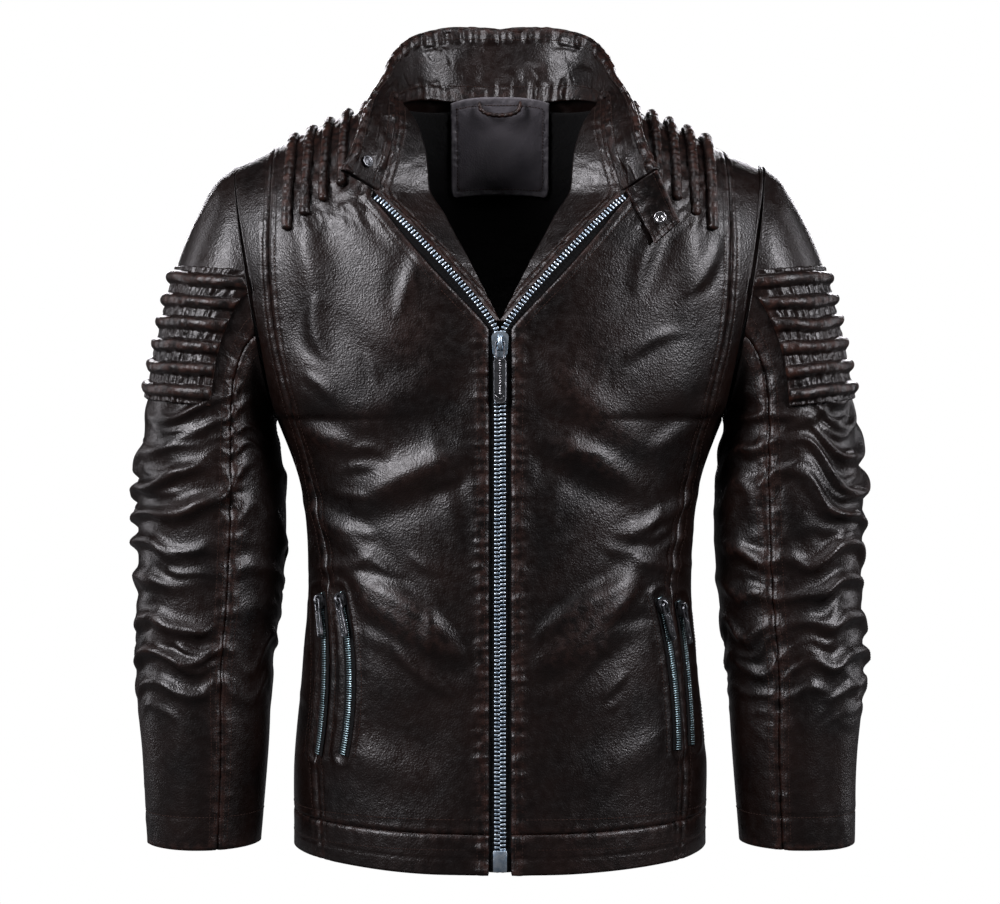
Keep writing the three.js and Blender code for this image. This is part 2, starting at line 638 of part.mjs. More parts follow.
for (const pocket of POCKETS) {
  const frame = pocketFrame(pocket);
  const place = (out) => (aside, along) => onPocket(frame, along, aside, out);
  const along = steps(-frame.half, frame.half, 8);
  const chain = sheet(place(0), place(-POCKET_CHAIN), steps(-POCKET_CHAIN_HALF, POCKET_CHAIN_HALF, 1), along);
  piece(`pocket_zip_${pocket.name}`, chain, 0x6f8186, 0.35, 0.9);
  const sliderAt = frame.half - (POCKET_SLIDER_LENGTH / 2 + 1) / frame.radius;
  const slider = sliderSolid(5.2, POCKET_SLIDER_LENGTH, POCKET_CHAIN_HALF, 0, POCKET_CHAIN - 0.2);
  const sliderMesh = piece(`pocket_slider_${pocket.name}`, geometryOf(slider), gunmetalColor, 0.3, 0.9);
  placedOnPocket(sliderMesh, frame, sliderAt, 0);
  const hingeShift = (POCKET_SLIDER_LENGTH * 0.08) / frame.radius;
  const pullerMesh = piece(`pocket_puller_${pocket.name}`, geometryOf(pullerSolid(3.4, 9, 3.2, 21)), gunmetalColor, 0.35, 0.9);
  placedOnPocket(pullerMesh, frame, sliderAt + hingeShift, -hingeDepth(0));
}

// ---- pocket bags between leather and lining ----
for (const [word, side] of sides) {
  const bagLevels = steps(levelOf(48), levelOf(212), 5);
  const from = (level) => turnAt(96, level);
  const to = (level) => turnAt(154, level);
  const bag = bodySheet(side, -1, from, to, 5, bagLevels, POCKET_BAG_INSET, POCKET_BAG);
  piece(`pocket_bag_${word}`, bag, 0x1b1b1d, 0.9);
}

// ---- sleeves ----
// Rings from the cuff to the armhole: outer and inner points [x, z], middle y and half depth.
const SLEEVE_RINGS = [
  { outer: [298, 3], inner: [202, 3], middle: -18, half: 50 },
  { outer: [301, 75], inner: [196, 78], middle: -17, half: 55 },
  { outer: [308, 147], inner: [192, 146], middle: -14, half: 60 },
  { outer: [308, 218], inner: [185, 204], middle: -10, half: 64 },
  { outer: [308, 290], inner: [181, 260], middle: -7, half: 67 },
  { outer: [303, 348], inner: [182.5, 303], middle: -4, half: 69 },
  { outer: [294, 395], inner: [187, 333], middle: -2, half: 70 },
  { outer: [284, 442], inner: [190.5, 347], middle: -1, half: 70.5 },
  { outer: [272, 490], inner: [191.5, 353], middle: 0, half: 70.5 },
  { outer: [256, 530], inner: [191.2, 356], middle: 0, half: 70.3 },
  { outer: [239, 560], inner: [190.9, 357.4], middle: 0, half: 70.1 },
  {
    outer: [SHOULDER_HALF_WIDTH + SLEEVE_GAP, SHOULDER_TIP_HEIGHT],
    inner: [ARMPIT_HALF_WIDTH + SLEEVE_GAP, ARMPIT_HEIGHT],
    middle: 0,
    half: ARMHOLE_HALF_DEPTH,
  },
];
const ringPairs = (read) => smoothThrough(SLEEVE_RINGS.map((ring, i) => [i, read(ring)]));
const ringCurves = {
  outerX: ringPairs((ring) => ring.outer[0]),
  outerZ: ringPairs((ring) => ring.outer[1]),
  innerX: ringPairs((ring) => ring.inner[0]),
  innerZ: ringPairs((ring) => ring.inner[1]),
  middle: ringPairs((ring) => ring.middle),
  half: ringPairs((ring) => ring.half),
};
const lastRing = SLEEVE_RINGS.length - 1;

// angle 0 is the outer side, a quarter turn the front, a half turn the inner side.
function sleevePoint(side, angle, ring, inset = 0) {
  const [ox, oz] = [ringCurves.outerX(ring), ringCurves.outerZ(ring)];
  const [ix, iz] = [ringCurves.innerX(ring), ringCurves.innerZ(ring)];
  const [hx, hz] = [(ox - ix) / 2, (oz - iz) / 2];
  const shrink = (1 - inset / Math.hypot(hx, hz)) * Math.cos(angle);
  const x = (ox + ix) / 2 + hx * shrink;
  const z = (oz + iz) / 2 + hz * shrink;
  return new THREE.Vector3(side * x, ringCurves.middle(ring) - (ringCurves.half(ring) - inset) * Math.sin(angle), z);
}

// The ring on which a point at this angle has the height z.
function ringAtHeight(angle, z) {
  let [low, high] = [0, lastRing];
  for (let i = 0; i < 30; i += 1) {
    const middle = (low + high) / 2;
    if (sleevePoint(1, angle, middle).z < z) {
      low = middle;
    } else {
      high = middle;
    }
  }
  return (low + high) / 2;
}

const seamAngle = radians(SLEEVE_SEAM_ANGLE);
const sleeveSeamGap = SEAM / 2 / 60;
const sleeveRings = [0, 1, 2, 3, 4, 5, 5.5, 6, 6.5, 7, 7.5, 8, 8.5, 9, 10, 11];
for (const [word, side] of sides) {
  const place = (inset) => (angle, ring) => sleevePoint(side, angle, ring, inset);
  const outerAngles = steps(-seamAngle + sleeveSeamGap, seamAngle - sleeveSeamGap, 12);
  const innerAngles = steps(seamAngle + sleeveSeamGap, 2 * Math.PI - seamAngle - sleeveSeamGap, 6);
  piece(`sleeve_outer_${word}`, sheet(place(0), place(LEATHER), outerAngles, sleeveRings), leatherColor, 0.4);
  piece(`sleeve_inner_${word}`, sheet(place(0), place(LEATHER), innerAngles, sleeveRings), leatherColor, 0.4);
  const liningRings = [0.1, 1, 2, 3, 4, 5, 6, 7.5, 9, 9.6];
  const tubeInset = [SLEEVE_LINING_INSET, SLEEVE_LINING_INSET + LINING];
  const liningTube = sheet(place(tubeInset[0]), place(tubeInset[1]), steps(0, 2 * Math.PI, 12), liningRings, true);
  piece(`sleeve_lining_${word}`, liningTube, liningColor, 0.95);

  const ribSurface = (angle, z) => {
    const slope = RIB_SLOPE * Math.abs(angle) / radians(RIB_PANEL_ANGLE);
    return sleevePoint(side, angle, ringAtHeight(angle, z - slope));
  };
  const panelTop = RIB_TOP + RIB_PITCH / 2;
  const panelBottom = RIB_TOP - RIB_PITCH * (RIB_COUNT - 0.5);
  const ribAngles = outerAngles.slice(1, -1);
  const ribRows = steps(panelBottom, panelTop, RIB_COUNT * 3);
  const ribHeight = (z) => RIB_PANEL_GAP + LEATHER / 2 + RIB_RADIUS * Math.abs(Math.cos((Math.PI * (z - RIB_TOP)) / RIB_PITCH)) ** 1.5;
  const outside = (angle, z) => raised(ribSurface, -side * ribHeight(z))(angle, z);
  const ribPanel = sheet(outside, raised(ribSurface, -side * RIB_PANEL_GAP), ribAngles, ribRows);
  piece(`sleeve_rib_panel_${word}`, ribPanel, cordColor, 0.45);
}

// ---- shoulder cords, front to back over the shoulder ----
const cordInset = -(CORD_RADIUS + CORD_GAP);
for (const [word, side] of sides) {
  for (let i = 0; i < CORD_COUNT; i += 1) {
    const x = CORD_FIRST + i * CORD_PITCH;
    const frontEnd = CORD_FRONT_ANGLE + (CORD_COUNT - 1 - i) * CORD_FRONT_STEP;
    const frontAngles = steps(frontEnd, 84, 5);
    const backAngles = steps(84, CORD_BACK_ANGLE, 5);
    const over = (face) => (angle) => bodyAtX(side, face, x, 1 + angle / 90, cordInset);
    const crest = bodyAtX(side, -1, x, 2, cordInset).setY(0);
    const points = [...frontAngles.map(over(-1)), crest, ...backAngles.map(over(1))];
    piece(`shoulder_cord_${word}_${i + 1}`, tube(points, CORD_RADIUS, 6, 12), cordColor, 0.45);
  }
}

// ---- collar ----
// The neck seam runs from the centre back (0) over the shoulder (0.5) to the top of the zip (1).
function neckSeam(side, t) {
  if (t <= 0.5) {
    return bodyPoint(side, 1, neckTurn(t), backTop(neckTurn(t)));
  }
  const level = THREE.MathUtils.lerp(2, veeLevels.at(-1), (t - 0.5) * 2);
  return bodyAtX(side, -1, leatherEdge(level), level);
}

// Free edge of the collar: upright at the back, turning outwards towards the front.
const freeEdgePoints = [
  [0, 84, 706], [44, 80, 706], [78, 60, 694], [93, 26, 672], [100, -14, 645],
  [109, -54, 618], [116, -94, 583], [127, -122, 550],
].map(([x, y, z]) => new THREE.Vector3(x, y, z));
const freeEdgeCurve = new THREE.CatmullRomCurve3(freeEdgePoints);

function collarPoint(s, v) {
  const side = s < 0 ? -1 : 1;
  const t = Math.min(Math.abs(s), 1);
  const seam = neckSeam(side, t);
  const free = freeEdgeCurve.getPoint(t);
  free.x *= side;
  const rise = free.clone().sub(seam);
  const length = rise.length();
  const start = COLLAR_LIFT / length;
  return seam.addScaledVector(rise, start + (1 - start) * v);
}

const collarLeaf = (distance) => raised(collarPoint, distance, 0.02);
const halfCollar = [...neckSteps, 0.625, 0.75, 0.875, COLLAR_END];
const collarAcross = [...halfCollar.slice(1).reverse().map((t) => -t), ...halfCollar];
const collarAlong = unitSteps(3);
const outerLeaf = sheet(collarLeaf(0), collarLeaf(COLLAR_LEAF), collarAcross, collarAlong);
piece("collar_outer", outerLeaf, leatherColor, 0.4);
const innerDepth = COLLAR_LEAF + COLLAR_LEAF_GAP;
const innerLeaf = sheet(collarLeaf(innerDepth), collarLeaf(innerDepth + COLLAR_LEAF), collarAcross, collarAlong);
piece("collar_inner", innerLeaf, leatherColor, 0.4);

// ---- collar tab on the wearer's left, with its snap, and the stud on the other side ----
const TAB_TIP_INNER = [121, 500];
const TAB_TIP_OUTER = [140, 521];
const TAB_LIFT = 6;
const tabRoot = [0, 1].map((v) => collarLeaf(innerDepth)(COLLAR_END + 0.003, v));
const tabTip = [TAB_TIP_INNER, TAB_TIP_OUTER].map(([x, z]) => bodyAtX(1, -1, x, frontLevel(z), -TAB_LIFT));
function tabPoint(u, v) {
  const root = tabRoot[0].clone().lerp(tabRoot[1], u);
  const tip = tabTip[0].clone().lerp(tabTip[1], u);
  return root.lerp(tip, TAB_ROOT_GAP + (1 - TAB_ROOT_GAP) * v);
}
const tabOut = (distance) => raised(tabPoint, distance);
piece("collar_tab", sheet(tabOut(-TAB_THICKNESS / 2), tabOut(TAB_THICKNESS / 2), unitSteps(2), unitSteps(4)), leatherColor, 0.4);

function snapGeometry() {
  const profile = [[0, 0], [SNAP_RADIUS, 0], [SNAP_RADIUS, SNAP_HEIGHT * 0.5], [SNAP_RADIUS * 0.8, SNAP_HEIGHT],
    [SNAP_RADIUS * 0.45, SNAP_HEIGHT], [SNAP_RADIUS * 0.35, SNAP_HEIGHT * 0.6], [0, SNAP_HEIGHT * 0.6]];
  return new THREE.LatheGeometry(profile.map(([r, h]) => new THREE.Vector2(r, h)), 20);
}

function seatedSnap(name, surface, u, v, out) {
  const foot = raised(surface, out)(u, v);
  const ahead = raised(surface, out + Math.sign(out))(u, v).sub(foot).normalize();
  const mesh = piece(name, snapGeometry(), metalColor, 0.3, 0.9);
  mesh.quaternion.setFromUnitVectors(new THREE.Vector3(0, 1, 0), ahead);
  mesh.position.copy(foot);
}
seatedSnap("tab_snap_cap", tabPoint, 0.5, 0.72, -TAB_THICKNESS / 2 - SNAP_GAP);
seatedSnap("collar_snap_stud", collarPoint, -0.93, 0.5, innerDepth + COLLAR_LEAF + SNAP_GAP);

export default jacket;
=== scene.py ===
"""Looks of the leather riding jacket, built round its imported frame.

Lengths inside the classes are millimetres above the hem, as a pattern cutter would
measure them. They become metres in the row frame when a mesh is made.
"""

import json
import logging
import math
from dataclasses import dataclass, field
from enum import Enum
from typing import Callable, Sequence

import bmesh
import bpy
import numpy as np
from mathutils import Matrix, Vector

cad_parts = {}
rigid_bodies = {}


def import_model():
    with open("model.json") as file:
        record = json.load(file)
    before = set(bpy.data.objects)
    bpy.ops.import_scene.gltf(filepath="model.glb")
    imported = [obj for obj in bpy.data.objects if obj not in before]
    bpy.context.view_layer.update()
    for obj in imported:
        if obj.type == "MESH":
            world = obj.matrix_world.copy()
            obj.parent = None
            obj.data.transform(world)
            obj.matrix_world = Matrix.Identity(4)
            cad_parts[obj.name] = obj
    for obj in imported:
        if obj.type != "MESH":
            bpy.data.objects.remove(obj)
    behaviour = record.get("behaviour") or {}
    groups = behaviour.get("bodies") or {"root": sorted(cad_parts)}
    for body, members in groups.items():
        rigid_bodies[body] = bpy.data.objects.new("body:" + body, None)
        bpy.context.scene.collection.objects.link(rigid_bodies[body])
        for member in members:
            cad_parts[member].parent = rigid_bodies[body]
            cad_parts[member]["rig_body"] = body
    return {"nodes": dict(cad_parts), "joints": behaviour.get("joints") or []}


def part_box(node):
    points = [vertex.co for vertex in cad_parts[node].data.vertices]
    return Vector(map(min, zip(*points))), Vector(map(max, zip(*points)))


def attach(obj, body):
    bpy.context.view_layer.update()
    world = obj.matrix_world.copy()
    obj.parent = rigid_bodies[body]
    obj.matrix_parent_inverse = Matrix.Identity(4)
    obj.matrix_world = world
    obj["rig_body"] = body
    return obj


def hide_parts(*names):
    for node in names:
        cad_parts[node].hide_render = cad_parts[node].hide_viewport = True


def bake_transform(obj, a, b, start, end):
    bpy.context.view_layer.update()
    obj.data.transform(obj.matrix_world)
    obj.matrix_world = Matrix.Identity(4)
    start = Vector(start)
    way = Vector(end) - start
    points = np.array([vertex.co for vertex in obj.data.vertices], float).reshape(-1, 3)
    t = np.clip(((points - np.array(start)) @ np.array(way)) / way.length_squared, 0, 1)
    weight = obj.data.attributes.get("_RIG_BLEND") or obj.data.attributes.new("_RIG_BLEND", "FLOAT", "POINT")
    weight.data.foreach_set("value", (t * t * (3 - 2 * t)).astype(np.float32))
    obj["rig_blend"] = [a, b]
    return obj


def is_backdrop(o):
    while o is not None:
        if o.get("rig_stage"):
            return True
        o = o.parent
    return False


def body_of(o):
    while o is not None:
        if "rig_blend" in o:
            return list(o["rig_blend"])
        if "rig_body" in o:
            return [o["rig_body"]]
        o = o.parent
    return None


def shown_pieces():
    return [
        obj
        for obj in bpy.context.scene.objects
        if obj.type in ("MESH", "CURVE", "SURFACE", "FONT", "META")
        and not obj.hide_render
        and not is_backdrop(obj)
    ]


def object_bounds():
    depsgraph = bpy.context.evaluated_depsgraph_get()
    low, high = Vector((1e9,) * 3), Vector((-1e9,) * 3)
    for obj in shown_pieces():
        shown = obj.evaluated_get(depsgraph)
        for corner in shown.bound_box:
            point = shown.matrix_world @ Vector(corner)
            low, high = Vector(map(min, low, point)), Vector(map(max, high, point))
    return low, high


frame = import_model()
CAD_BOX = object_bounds()

Array = np.ndarray
LOG = logging.getLogger("jacket")

MM = 0.001
FORM_HEIGHT = -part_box("hem_band_back")[0].z / MM
QUARTER = math.pi / 2


class Side(Enum):
    """The wearer's two sides. The value is the sign of X."""

    LEFT = 1
    RIGHT = -1

    @property
    def word(self) -> str:
        """The side's name, as the frame's nodes spell it."""
        return self.name.lower()


class Face(Enum):
    """Front or back of the body. The value is the sign of Y."""

    FRONT = -1
    BACK = 1


# ---------------------------------------------------------------- small tools


def smooth_through(pairs: Sequence[tuple[float, float]]) -> Callable[[Array], Array]:
    """A smooth curve through points, held level outside them.

    Args:
        pairs: (where, value) points, in rising order.

    Returns:
        A function of an array of places.
    """
    where = np.array([p[0] for p in pairs], float)
    value = np.array([p[1] for p in pairs], float)
    slope = np.gradient(value, where)
    slope[1:-1] = (value[2:] - value[:-2]) / (where[2:] - where[:-2])

    def curve(x: Array) -> Array:
        """Value of the curve at x."""
        i = np.clip(np.searchsorted(where, x) - 1, 0, len(where) - 2)
        span = where[i + 1] - where[i]
        t = np.clip((x - where[i]) / span, 0, 1)
        start = (2 * t**3 - 3 * t**2 + 1) * value[i] + (t**3 - 2 * t**2 + t) * span * slope[i]
        end = (3 * t**2 - 2 * t**3) * value[i + 1] + (t**3 - t**2) * span * slope[i + 1]
        return start + end

    return curve


def smoothstep(x: Array, low: float, high: float) -> Array:
    """0 below low, 1 above high and smooth between."""
    t = np.clip((x - low) / (high - low), 0, 1)
    return t * t * (3 - 2 * t)


def bell(x: Array, width: float) -> Array:
    """A bump of height 1 at 0."""
    return np.exp(-((x / width) ** 2))


def unit(v: Array) -> Array:
    """Vectors at length 1."""
    return v / np.maximum(np.linalg.norm(v, axis=-1, keepdims=True), 1e-9)


@dataclass(frozen=True)
class Noise:
    """Smooth seeded noise from -1 to 1 on a lattice."""

    seed: int

    def at(self, x: Array, y: Array, z: Array | float = 0.0) -> Array:
        """Noise at points measured in lattice cells.

        Args:
            x: first coordinate.
            y: second coordinate.
            z: third coordinate.

        Returns:
            Values from about -1 to 1.
        """
        table = np.random.default_rng(self.seed).uniform(-1, 1, 4096)
        x, y, z = np.broadcast_arrays(np.asarray(x, float), y, z)
        cells = [np.floor(c).astype(np.int64) for c in (x, y, z)]
        parts = [c - i for c, i in zip((x, y, z), cells)]
        ease = [t * t * t * (t * (t * 6 - 15) + 10) for t in parts]
        total = np.zeros(x.shape)
        for corner in range(8):
            bits = [(corner >> k) & 1 for k in range(3)]
            keys = [i + b for i, b in zip(cells, bits)]
            index = ((keys[0] * 73856093) ^ (keys[1] * 19349663) ^ (keys[2] * 83492791)) & 4095
            weight = np.ones(x.shape)
            for e, b in zip(ease, bits):
                weight = weight * (e if b else 1 - e)
            total += weight * table[index]
        return total

    def ridged(self, x: Array, y: Array, z: Array | float = 0.0) -> Array:
        """Sharp crests from 0 to 1, as creases have."""
        return 1 - np.minimum(1, np.abs(self.at(x, y, z)) * 2.2)


@dataclass(frozen=True)
class Fold:
    """One crease: a crest with a hollow beside it, along a bowed line on a flat map."""

    start: tuple[float, float]
    end: tuple[float, float]
    bow: float
    width: float
    height: float

    def relief(self, x: Array, z: Array) -> Array:
        """Height of the crease over points of the map.

        Args:
            x: places across.
            z: places up.

        Returns:
            Millimetres out of the cloth.
        """
        dx, dz = self.end[0] - self.start[0], self.end[1] - self.start[1]
        length = math.hypot(dx, dz)
        ax, az = x - self.start[0], z - self.start[1]
        u = (ax * dx + az * dz) / length**2
        v = (az * dx - ax * dz) / length - 4 * self.bow * u * (1 - u)
        taper = np.sin(np.pi * np.clip(u, 0, 1)) ** 0.8
        width = self.width * (0.6 + 0.4 * taper)
        crest = np.exp(-((v / width) ** 2))
        hollow = np.exp(-(((v + 1.7 * width) / (1.2 * width)) ** 2))
        return self.height * taper * (crest - 0.5 * hollow)


def scattered_folds(seed: int, count: int, box: Sequence[float], heading: float, size: float) -> list[Fold]:
    """Small creases strewn over a stretch of the map.

    Args:
        seed: seed of the draw.
        count: how many creases.
        box: low x, low z, high x and high z of the stretch.
        heading: the creases' mean direction, in degrees.
        size: longest crease, in millimetres.

    Returns:
        The creases.
    """
    draw = np.random.default_rng(seed)
    folds = []
    for _ in range(count):
        x, z = draw.uniform(box[0], box[2]), draw.uniform(box[1], box[3])
        turn = math.radians(heading + draw.normal(0, 24))
        length = size * draw.uniform(0.35, 1)
        reach = (math.cos(turn) * length / 2, math.sin(turn) * length / 2)
        folds.append(
            Fold(
                (x - reach[0], z - reach[1]),
                (x + reach[0], z + reach[1]),
                draw.normal(0, 0.08) * length,
                draw.uniform(0.06, 0.11) * length + 1,
                draw.uniform(0.02, 0.042) * length,
            )
        )
    return folds


def distance_to(path: Array, x: Array, z: Array) -> Array:
    """Distance on the map from points to a line through path's points.

    Args:
        path: (n, 2) points of the line.
        x: places across.
        z: places up.

    Returns:
        Distances in millimetres.
    """
    best = np.full(x.shape, 1e9)
    for a, b in zip(path[:-1], path[1:]):
        d = b - a
        t = np.clip(((x - a[0]) * d[0] + (z - a[1]) * d[1]) / max(d @ d, 1e-9), 0, 1)
        best = np.minimum(best, np.hypot(x - a[0] - t * d[0], z - a[1] - t * d[1]))
    return best


# ---------------------------------------------------------------- meshes


def to_frame(points: Array) -> Array:
    """Millimetres above the hem to metres in the row frame."""
    return (points - np.array([0, 0, FORM_HEIGHT])) * MM


def from_frame(point: Sequence[float]) -> Array:
    """Metres in the row frame to millimetres above the hem."""
    return np.array(point, float) / MM + np.array([0, 0, FORM_HEIGHT])


def mesh_piece(name: str, points: Array, faces: Sequence, wear: Array | None = None) -> bpy.types.Object:
    """A smooth-shaded piece at the origin.

    Args:
        name: the piece's name.
        points: (n, 3) points in millimetres above the hem.
        faces: corner numbers of each face.
        wear: rub of each point, from 0 to 1.

    Returns:
        The new object.
    """
    mesh = bpy.data.meshes.new(name)
    mesh.from_pydata(to_frame(points).tolist(), [], [list(f) for f in faces])
    mesh.polygons.foreach_set("use_smooth", np.ones(len(mesh.polygons), bool))
    rub = mesh.attributes.new("wear", "FLOAT", "POINT")
    rub.data.foreach_set("value", (np.zeros(len(points)) if wear is None else wear).astype(np.float32))
    mesh.validate()
    piece = bpy.data.objects.new(name, mesh)
    bpy.context.scene.collection.objects.link(piece)
    return piece


def grid_faces(rows: int, columns: int, looped: bool, first: int, turned: bool) -> Array:
    """Quads over a grid of points stored row by row.

    Args:
        rows: number of rows.
        columns: points in a row.
        looped: whether the last column joins the first.
        first: number of the grid's first point.
        turned: whether the faces look the other way.

    Returns:
        (n, 4) corner numbers.
    """
    j, i = np.meshgrid(np.arange(rows - 1), np.arange(columns if looped else columns - 1), indexing="ij")
    k = (i + 1) % columns
    quads = [j * columns + i, j * columns + k, (j + 1) * columns + k, (j + 1) * columns + i]
    faces = np.stack(quads, -1).reshape(-1, 4) + first
    return faces[:, ::-1] if turned else faces


def rim_points(outer: Array, inner: Array, bulge: float) -> tuple[Array, Array]:
    """Places round the open edge of a grid, and the soft edge between its two walls.

    Args:
        outer: (rows, columns, 3) outer wall.
        inner: inner wall of the same shape.
        bulge: how far the edge swells, as a share of the wall.

    Returns:
        Grid numbers round the edge, and the swollen points at them.
    """
    rows, columns = outer.shape[:2]
    number = np.arange(rows * columns).reshape(rows, columns)
    ring = np.concatenate([number[0, :-1], number[:-1, -1], number[-1, :0:-1], number[:0:-1, 0]])
    step = np.concatenate(
        [
            np.full(columns - 1, columns), np.full(rows - 1, -1), np.full(columns - 1, -columns),
            np.full(rows - 1, 1)
        ]
    )
    flat_out, flat_in = outer.reshape(-1, 3), inner.reshape(-1, 3)
    away = unit(flat_out[ring] - flat_out[ring + step])
    wall = np.linalg.norm(flat_out[ring] - flat_in[ring], axis=1, keepdims=True)
    return ring, (flat_out[ring] + flat_in[ring]) / 2 + away * wall * bulge


def shell(
    name: str, outer: Array, inner: Array, wear: Array | None = None, looped: bool = False, bulge: float = 0.3
) -> bpy.types.Object:
    """A closed sheet between two walls, with a soft rolled edge.

    Args:
        name: the piece's name.
        outer: (rows, columns, 3) outer wall, in millimetres above the hem.
        inner: inner wall of the same shape.
        wear: rub over the outer wall.
        looped: whether the columns close into a tube.
        bulge: how far the edge swells, as a share of the wall.

    Returns:
        The new object.
    """
    rows, columns = outer.shape[:2]
    size = rows * columns
    rub = np.zeros((rows, columns)) if wear is None else wear
    points = [outer.reshape(-1, 3), inner.reshape(-1, 3)]
    faces = [grid_faces(rows, columns, looped, 0, False), grid_faces(rows, columns, looped, size, True)]
    masks = [rub.reshape(-1), rub.reshape(-1)]
    if looped:
        for row in (0, rows - 1):
            ring = np.arange(columns) + row * columns
            after = np.roll(ring, -1)
            quad = np.stack([ring, ring + size, after + size, after], -1)
            faces.append(quad if row == 0 else quad[:, ::-1])
    else:
        ring, middle = rim_points(outer, inner, bulge)
        points.append(middle)
        masks.append(rub.reshape(-1)[ring])
        after = np.roll(ring, -1)
        own = np.arange(len(ring)) + 2 * size
        own_after = np.roll(own, -1)
        faces.append(np.stack([ring, own, own_after, after], -1))
        faces.append(np.stack([own, ring + size, after + size, own_after], -1))
    corners = np.concatenate(faces)
    place = np.concatenate(points)
    a, b, c, d = (place[corners[:, k]] for k in range(4))
    if np.einsum("ij,ij->", a - place[0], np.cross(b - a, c - a) + np.cross(c - a, d - a)) < 0:
        corners = corners[:, ::-1]
    return mesh_piece(name, place, corners, np.concatenate(masks))


def tube(name: str, path: Array, radius: Array | float, out: Array, sides: int = 14) -> bpy.types.Object:
    """A closed round tube with domed ends along a path.

    Args:
        name: the piece's name.
        path: (n, 3) points of the centre line.
        radius: its radius, one number or (n, sides) numbers.
        out: (n, 3) directions that the section's first point takes.
        sides: points round the section.

    Returns:
        The new object.
    """
    along = unit(np.gradient(path, axis=0))
    first = unit(out - along * np.sum(out * along, axis=1, keepdims=True))
    second = np.cross(along, first)
    angle = np.linspace(0, 2 * np.pi, sides, endpoint=False)
    reach = np.broadcast_to(np.asarray(radius, float), (len(path), sides)).copy()
    ends = np.minimum(np.arange(len(path)), np.arange(len(path))[::-1])
    reach *= np.sqrt(np.clip(1 - (1 - np.clip((ends + 0.25) / 3, 0, 1)) ** 2, 0.04, 1))[:, None]
    ring = first[:, None] * np.cos(angle)[None, :, None] + second[:, None] * np.sin(angle)[None, :, None]
    points = (path[:, None] + ring * reach[:, :, None]).reshape(-1, 3)
    points = np.concatenate([points, path[:1] - along[:1] * 0.4, path[-1:] + along[-1:] * 0.4])
    faces = [list(f) for f in grid_faces(len(path), sides, True, 0, False)]
    low, high = len(points) - 2, len(points) - 1
    last = (len(path) - 1) * sides
    for i in range(sides):
        faces.append([low, (i + 1) % sides, i])
        faces.append([high, last + i, last + (i + 1) % sides])
    crest = np.clip(np.cos(angle), 0, 1)[None, :] ** 2 * np.ones((len(path), 1))
    return mesh_piece(name, points, faces, np.concatenate([crest.reshape(-1), [0, 0]]))


# ---------------------------------------------------------------- the form


